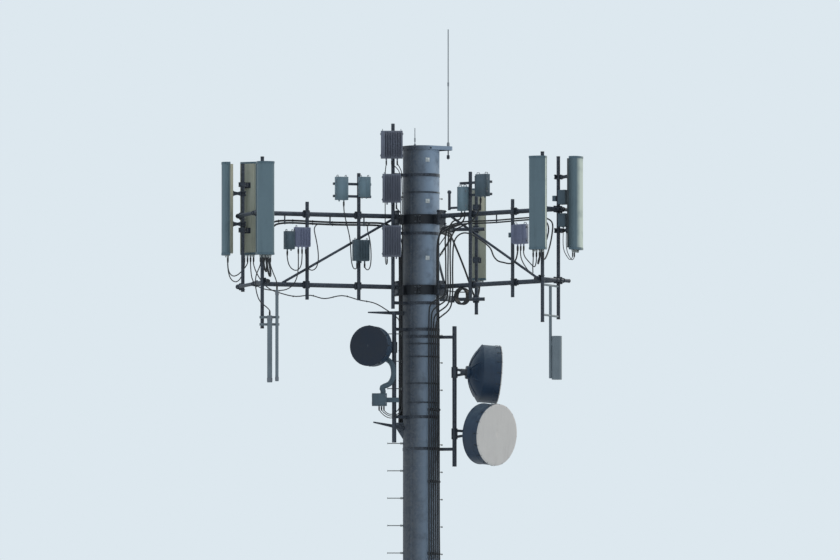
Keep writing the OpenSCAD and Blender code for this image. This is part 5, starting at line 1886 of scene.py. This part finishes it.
@dataclass
class Dish:
    """Rim bands, ribs, hub bolts and cover hooks of one shrouded dish."""

    name: str
    hub: Vector
    azimuth: float
    down: float
    width: float
    hooks: int = 16
    ribs: int = 8
    rib_steps: int = 8
    rib_start: float = 0.12
    rib_end: float = 0.86
    rim_share: float = 0.51
    bowl_share: float = 0.2
    hub_bolts: int = 6
    hub_circle: float = 0.088
    coil_turns: int = 6
    coil_steps: int = 48

    @property
    def frame_at(self) -> Matrix:
        """The dish's frame, with +Z along its look."""
        aim = Matrix.Rotation(math.radians(90 + self.down), 4, "Y")
        return Matrix.Translation(self.hub) @ (Matrix.Rotation(math.radians(self.azimuth), 4, "Z") @ aim)

    def build(self) -> None:
        """Adds the fittings of the shell and of the cover."""
        trim = Piece(self.name + "_trim", DISH_SHELL)
        hooks = Piece(self.name + "_hooks", STRAP_STEEL)
        place = self.frame_at
        self.shell(trim, place)
        for i in range(self.hub_bolts):
            a = math.tau * i / self.hub_bolts
            spot = (self.hub_circle * math.cos(a), self.hub_circle * math.sin(a), -0.03)
            behind = place @ (Matrix.Translation(spot) @ Matrix.Rotation(math.pi, 4, "X"))
            hooks.stamp(KIT.bolt(0.014, 0.4), behind)
        for i in range(self.hooks):
            self.hook(hooks, place @ Matrix.Rotation(math.tau * i / self.hooks, 4, "Z"))
        trim.build()
        hooks.build()

    def shell(self, trim: Piece, place: Matrix) -> None:
        """Adds the bands round the shroud, the ribs on the bowl and the shroud's seam.

        Args:
            trim: Takes them.
            place: The dish's frame.
        """
        r, rim, bowl = self.width / 2, self.rim_share * self.width, self.bowl_share * self.width
        for z, wire in ((bowl + 0.006, 0.007), (rim - 0.006, 0.006), (rim - 0.10, 0.004)):
            trim.stamp(KIT.weld(r - 0.001, wire, RING_STEPS), place @ Matrix.Translation((0, 0, z)))
        for i in range(self.ribs):
            a = math.tau * (i + 0.5) / self.ribs
            span = self.rib_end * r - self.rib_start
            reach = [self.rib_start + span * k / self.rib_steps for k in range(self.rib_steps + 1)]
            line = [Vector((q * math.cos(a), q * math.sin(a), 0.4 * r * (q / r) ** 2 - 0.003)) for q in reach]
            trim.wire([place @ p for p in line], 0.008)
        trim.wire([place @ Vector((0, r + 0.001, z)) for z in (bowl + 0.01, rim - 0.01)], 0.005)

    def hook(self, hooks: Piece, turn: Matrix) -> None:
        """Adds one spring hook that pulls the cover back over the rim.

        Args:
            hooks: Takes the hook.
            turn: The dish's frame, turned to the hook.
        """
        r, rim = self.width / 2, self.rim_share * self.width
        bend = ((-0.012, 0.0165), (0.006, 0.0155), (0.013, 0.006), (0.012, -0.012), (0.008, -0.026))
        hooks.wire([turn @ Vector((r + x, 0, rim + z)) for x, z in bend], 0.0018)
        full = math.tau * self.coil_turns
        coil = [
            Vector((r + 0.009 + 0.0045 * math.cos(t), 0.0045 * math.sin(t), rim - 0.026 - 0.034 * t / full))
            for t in (full * k / self.coil_steps for k in range(self.coil_steps + 1))
        ]
        hooks.wire([turn @ p for p in coil], 0.0012)
        foot = turn @ Matrix.Translation((r, 0, rim - 0.068)) @ Matrix.Rotation(math.pi / 2, 4, "Y")
        hooks.stamp(KIT.head(0.009), foot)


@dataclass
class CableRuns:
    """The CAD cables made round, with weather sleeves at their ends."""

    nodes: Sequence[str] = ("feeder_cables", "left_cables", "right_cables", "rear_cables", "stack_cables")
    sharp: float = math.radians(75)
    cap_faces: int = 8
    sleeve_back: float = 0.06

    def build(self) -> None:
        """Rounds every cable node and adds the sleeves."""
        sleeves = Piece("cable_sleeves", SLEEVE_RUBBER)
        for node in self.nodes:
            self.round(node, sleeves)
        sleeves.build()

    def corners(self, bm: BMesh) -> list[BMEdge]:
        """Finds the sharp edges round the cables' flat ends."""
        return [e for e in bm.edges if len(e.link_faces) == 2 and e.calc_face_angle() > self.sharp]

    def round(self, node: str, sleeves: Piece) -> None:
        """Turns a node's few-sided tubes into round ones.

        Args:
            node: The CAD node.
            sleeves: Takes the sleeves at the cables' ends.
        """
        bm = merged(node)
        for cap in self.caps(bm, set(self.corners(bm))):
            self.sleeve(cap, sleeves)
            bmesh.ops.dissolve_faces(bm, faces=cap)
        bmesh.ops.join_triangles(
            bm, faces=[f for f in bm.faces if len(f.verts) == 3], angle_face_threshold=math.radians(40),
            angle_shape_threshold=math.radians(80),
        )
        crease = bm.edges.layers.float.new("crease_edge")
        for edge in self.corners(bm):
            edge[crease] = 1.0
        mesh = written(bm, node + "_rough")
        holder = linked(mesh.name, mesh)
        soft = holder.modifiers.new("round", "SUBSURF")
        soft.levels = 1
        smooth = evaluated(holder)
        smooth.name = node + "_round"
        bpy.data.meshes.remove(mesh)
        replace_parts(show(smooth.name, smooth, [CABLE_JACKET], 60.0), node)

    def caps(self, bm: BMesh, sharp: set[BMEdge]) -> list[list[BMFace]]:
        """Finds the flat ends: small groups of faces inside a ring of sharp edges.

        Args:
            bm: The cables.
            sharp: The sharp edges.

        Returns:
            The faces of each end.
        """
        found, seen = [], set()
        for start in bm.faces:
            if start in seen or not any(e in sharp for e in start.edges):
                continue
            group, todo = {start}, [start]
            while todo and len(group) <= self.cap_faces:
                for edge in todo.pop().edges:
                    if edge in sharp:
                        continue
                    for other in edge.link_faces:
                        if other not in group:
                            group.add(other)
                            todo.append(other)
            if len(group) <= self.cap_faces:
                seen |= group
                found.append(list(group))
        return found

    def sleeve(self, cap: Sequence[BMFace], sleeves: Piece) -> None:
        """Puts a sleeve on a cable's end.

        Args:
            cap: The faces of the end.
            sleeves: Takes the sleeve.
        """
        rim = {v for face in cap for v in face.verts}
        middle = sum((v.co for v in rim), Vector()) / len(rim)
        r = round(max((v.co - middle).length for v in rim), 4)
        normal = cap[0].normal
        turn = normal.to_track_quat("Z", "Y").to_matrix().to_4x4()

        def build(bm: BMesh) -> None:
            """Fills the sleeve's mesh."""
            disc(bm, r + 0.004, 0.0, 0.056, 16, 0.003)
            disc(bm, r + 0.002, -0.02, 0.001, 16)
        place = Matrix.Translation(middle - normal * self.sleeve_back) @ turn
        sleeves.stamp(KIT.get(("sleeve", r), build), place)


@dataclass
class Ties:
    """Cable ties: each is a loop drawn tight round what crosses a small window."""

    name: str
    nodes: Sequence[str]
    grow: float = 0.003
    lift: float = 0.002
    wire: float = 0.0022
    fewest: int = 6

    def build(self, windows: Iterable[tuple[Vector, Vector, float]]) -> None:
        """Adds a tie for each window.

        Args:
            windows: Middle, normal and radius of each window.
        """
        ties = Piece(self.name, TIE_PLASTIC, tube=Tube.ROUGH)
        edges = []
        for node in self.nodes:
            bm = merged(node)
            edges += [(e.verts[0].co.copy(), e.verts[1].co.copy()) for e in bm.edges]
            bm.free()
        for middle, normal, radius in windows:
            axis = normal.normalized()
            self.tie(ties, self.crossed(edges, middle, axis, radius), middle, axis)
        ties.build()

    def crossed(
        self, edges: Iterable[tuple[Vector, Vector]], middle: Vector, normal: Vector, radius: float
    ) -> list[tuple[float, float]]:
        """Finds where cables cross a window.

        Args:
            edges: Ends of each edge of the cables.
            middle: The window's middle.
            normal: Its normal.
            radius: Its radius.

        Returns:
            The crossings in the window's own plane.
        """
        back = normal.to_track_quat("Z", "Y").to_matrix().transposed()
        flat = []
        for a, b in edges:
            da, db = (a - middle).dot(normal), (b - middle).dot(normal)
            if da * db >= 0:
                continue
            p = a + (b - a) * (da / (da - db))
            if (p - middle).length < radius:
                flat.append(tuple((back @ (p - middle)).xy))
        return flat

    def tie(self, ties: Piece, flat: Sequence[tuple[float, float]], middle: Vector, normal: Vector) -> None:
        """Adds one tie, where the window holds anything.

        Args:
            ties: Takes the tie.
            flat: The crossings in the window's plane.
            middle: The window's middle.
            normal: Its normal.
        """
        if len(flat) < self.fewest:
            return
        turn = normal.to_track_quat("Z", "Y").to_matrix()
        hull = [Vector(flat[i]) for i in convex_hull_2d(flat)]
        centre = sum(hull, Vector((0, 0))) / len(hull)
        grown = [h + (h - centre).normalized() * self.grow for h in hull]
        for lift in (-self.lift, self.lift):
            ties.wire([middle + turn @ Vector((h.x, h.y, lift)) for h in grown], self.wire, True)
        head = max(grown, key=lambda h: h.x)
        place = Matrix.Translation(middle + turn @ Vector((head.x, head.y, 0)))
        ties.stamp(KIT.plate(0.008, 0.006, 0.006, 0.001), place)


@dataclass
class FeederClamps:
    """Snap-in clamps of the feeder cables on their saddles."""

    first: float = 291.0
    step: float = 7.0
    count: int = 6
    off: float = 0.055
    pole_reach: float = 0.7

    def build(self) -> None:
        """Adds a clamp for each cable on each saddle."""
        clamps = Piece("feeder_clamps", CAP_PLASTIC)
        for box in TOWER.boxes("cable_hangers"):
            if box.middle.xy.length > self.pole_reach:
                continue
            z = box.middle.z
            r = self.off + pole_radius(z)
            for i in range(self.count):
                a = self.first + self.step * i
                clamps.stamp(KIT.band(0.029, 0.034, 0.003, 18), TOWER.facing(polar(r, a, z), UP))
                tab = TOWER.facing(polar(r + 0.016, a, z), polar(1, a))
                clamps.stamp(KIT.plate(0.014, 0.03, 0.008, 0.002), tab)
        clamps.build()


@dataclass
class SmallFittings:
    """Buckles of the pole's straps, whip bands, the junction box's trim and the hoods' bolts."""

    buckles: Sequence[float] = (262.0, 82.0)
    long_whip: float = 0.5
    hoods: Sequence[tuple[float, float]] = ((160.0, 4.6), (106.0, 2.68))
    hood_out: float = 0.335
    hood_half: float = 0.125
    door_width: float = 0.25
    glands: int = 3
    first_gland: tuple[float, float] = (-0.62, -0.395)

    def build(self) -> None:
        """Adds them."""
        self.straps()
        self.whips()
        self.junction()
        self.hood_bolts()

    def straps(self) -> None:
        """Adds two bolted buckles to each strap."""
        bands = Piece("strap_buckles", STRAP_STEEL)
        for box in TOWER.boxes("band_straps"):
            for a in self.buckles:
                place = TOWER.facing(polar(box.high.x, a, box.middle.z), polar(1.0, a))
                bands.stamp(KIT.plate(0.05, 0.03, 0.014, 0.003), place)
                bands.stamp(KIT.head(0.010), place @ Matrix.Translation((0.012, 0, 0.014)))
        bands.build()

    def whips(self) -> None:
        """Adds a band near both ends of each long whip."""
        whips = Piece("whip_bands", TRIM_STEEL)
        for box in TOWER.boxes("left_whips"):
            if box.size.z > self.long_whip:
                for z in (box.low.z + 0.04, box.high.z - 0.05):
                    place = (box.middle.x, box.middle.y, z)
                    whips.stamp(KIT.band(box.size.x, 0.06, 0.004), TOWER.facing(place, UP))
        whips.build()

    def hood_bolts(self) -> None:
        """Adds the bolts in both cheeks of the hoods."""
        hoods = Piece("hood_bolts", STRAP_STEEL)
        for azimuth, drop in self.hoods:
            for y in (-self.hood_half, self.hood_half):
                for dz in (-0.03, -0.15):
                    place = (self.hood_out, y, TOP - drop + dz)
                    hoods.stamp(KIT.head(0.012), Turned(azimuth).facing(place, (0, y, 0)))
        hoods.build()

    def junction(self) -> None:
        """Adds the junction box's hinges, latches and gland rings."""
        trim = Piece("junction_trim", TRIM_STEEL)
        box = TOWER.boxes("junction_box")[0]
        left, front = box.low.x, box.low.y
        for z in (box.low.z + 0.045, box.high.z - 0.045):
            pin = [Vector((left + 0.004, front + 0.006, z + dz)) for dz in (-0.02, 0.02)]
            latch = TOWER.facing((left + self.door_width - 0.02, front, z), (0, -1, 0))
            trim.wire(pin, 0.006)
            trim.stamp(KIT.plate(0.02, 0.028, 0.012, 0.002), latch)
        x, y = self.first_gland
        for k in range(self.glands):
            ring = TOWER.facing((x - 0.04 * k, y, box.low.z - 0.011), UP)
            trim.stamp(KIT.band(0.018, 0.022, 0.006, 6), ring)
        trim.build()


DISHES = (
    Dish("left_dish", Vector((-0.738, -0.400, TOP - 3.365)), 247.0, 0.0, 0.66, 12),
    Dish("upper_dish", Vector((0.785, -0.068, TOP - 3.770)), 8.0, 4.0, 0.96),
    Dish("lower_dish", Vector((0.857, -0.370, TOP - 4.795)), 320.0, 6.0, 1.01),
)


def dress_frame() -> None:
    """Gives every CAD node its finish."""
    slots = {s["node"]: s["material_slot"] for s in frame["record"]["subparts"]}
    for name, node in frame["nodes"].items():
        finish = FINISH_OF_NODE.get(name, FINISH_OF_SLOT[slots[name]])
        node.data.materials.clear()
        node.data.materials.append(finish.material())
        LOG.info("%s: %s", name, finish.name)


def boom_windows() -> Iterable[tuple[Vector, Vector, float]]:
    """Gives middle, normal and radius of each cable tie along the booms' rails."""
    for sector in SECTORS.values():
        along = sector.at(1.0, 0.0, 0.0)
        for x in (0.95, 1.3, 1.55, 1.9, 2.25, 2.5):
            for y in (-0.085, 0.085):
                yield sector.at(x, y, TOP - 1.30), along, 0.07
            yield sector.at(x, -0.025, TOP - 2.54), along, 0.09


def riser_windows() -> Iterable[tuple[Vector, Vector, float]]:
    """Gives middle, normal and radius of each cable tie on the upright runs beside the pole."""
    for azimuth, drops in ((158.0, (4.4, 3.9, 3.4, 2.9, 2.2)), (106.0, (2.2, 1.9))):
        for drop in drops:
            yield polar(0.365, azimuth, TOP - drop), UP, 0.11
    for drop in (1.95, 2.3, 2.62, 3.1, 3.6, 4.1):
        yield Vector((-0.325, -0.340, TOP - drop)), UP, 0.05


def fittings() -> None:
    """Adds every fastener, trim and cable on top of the CAD pieces."""
    for group in (Foundation, PoleFittings, CapFittings, PegFittings, CollarFittings, FeederClamps):
        group().build()
    sides = {"left": 1, "right": -1, "rear": 1}
    for name, side in sides.items():
        BoomFittings(name, SECTORS[name], side).build()
    for name, side in sides.items():
        RadioDress(name, SECTORS[name], side).build()
    RadioDress("stack", TOWER, -1).build()
    PanelFittings("left", (182.0, 65.0, 283.0), SHELL_FRONT, SHELL_BACK).build()
    # The right panels take the lit front copy with its painted sunlit highlight and the tray copy darkened as
    # painted shade.
    PanelFittings("right", (252.0, 329.0), SHELL_FRONT_SUNLIT, SHELL_TRAY_SHADED).build()
    PanelFittings("rear", (85.0, 75.0), SHELL_OLIVE, SHELL_BACK).build()
    for dish in DISHES:
        dish.build()
    runs = CableRuns()
    runs.build()
    for name, windows in (("boom_cable_ties", boom_windows()), ("riser_cable_ties", riser_windows())):
        Ties(name, runs.nodes[1:]).build(windows)
    SmallFittings().build()


def main() -> None:
    """Builds the studio and the tower's pieces in order."""
    logging.basicConfig(level=logging.INFO, format="%(name)s: %(message)s")
    Studio().build(TOP)
    dress_frame()
    fittings()


if __name__ == "__main__":
    main()
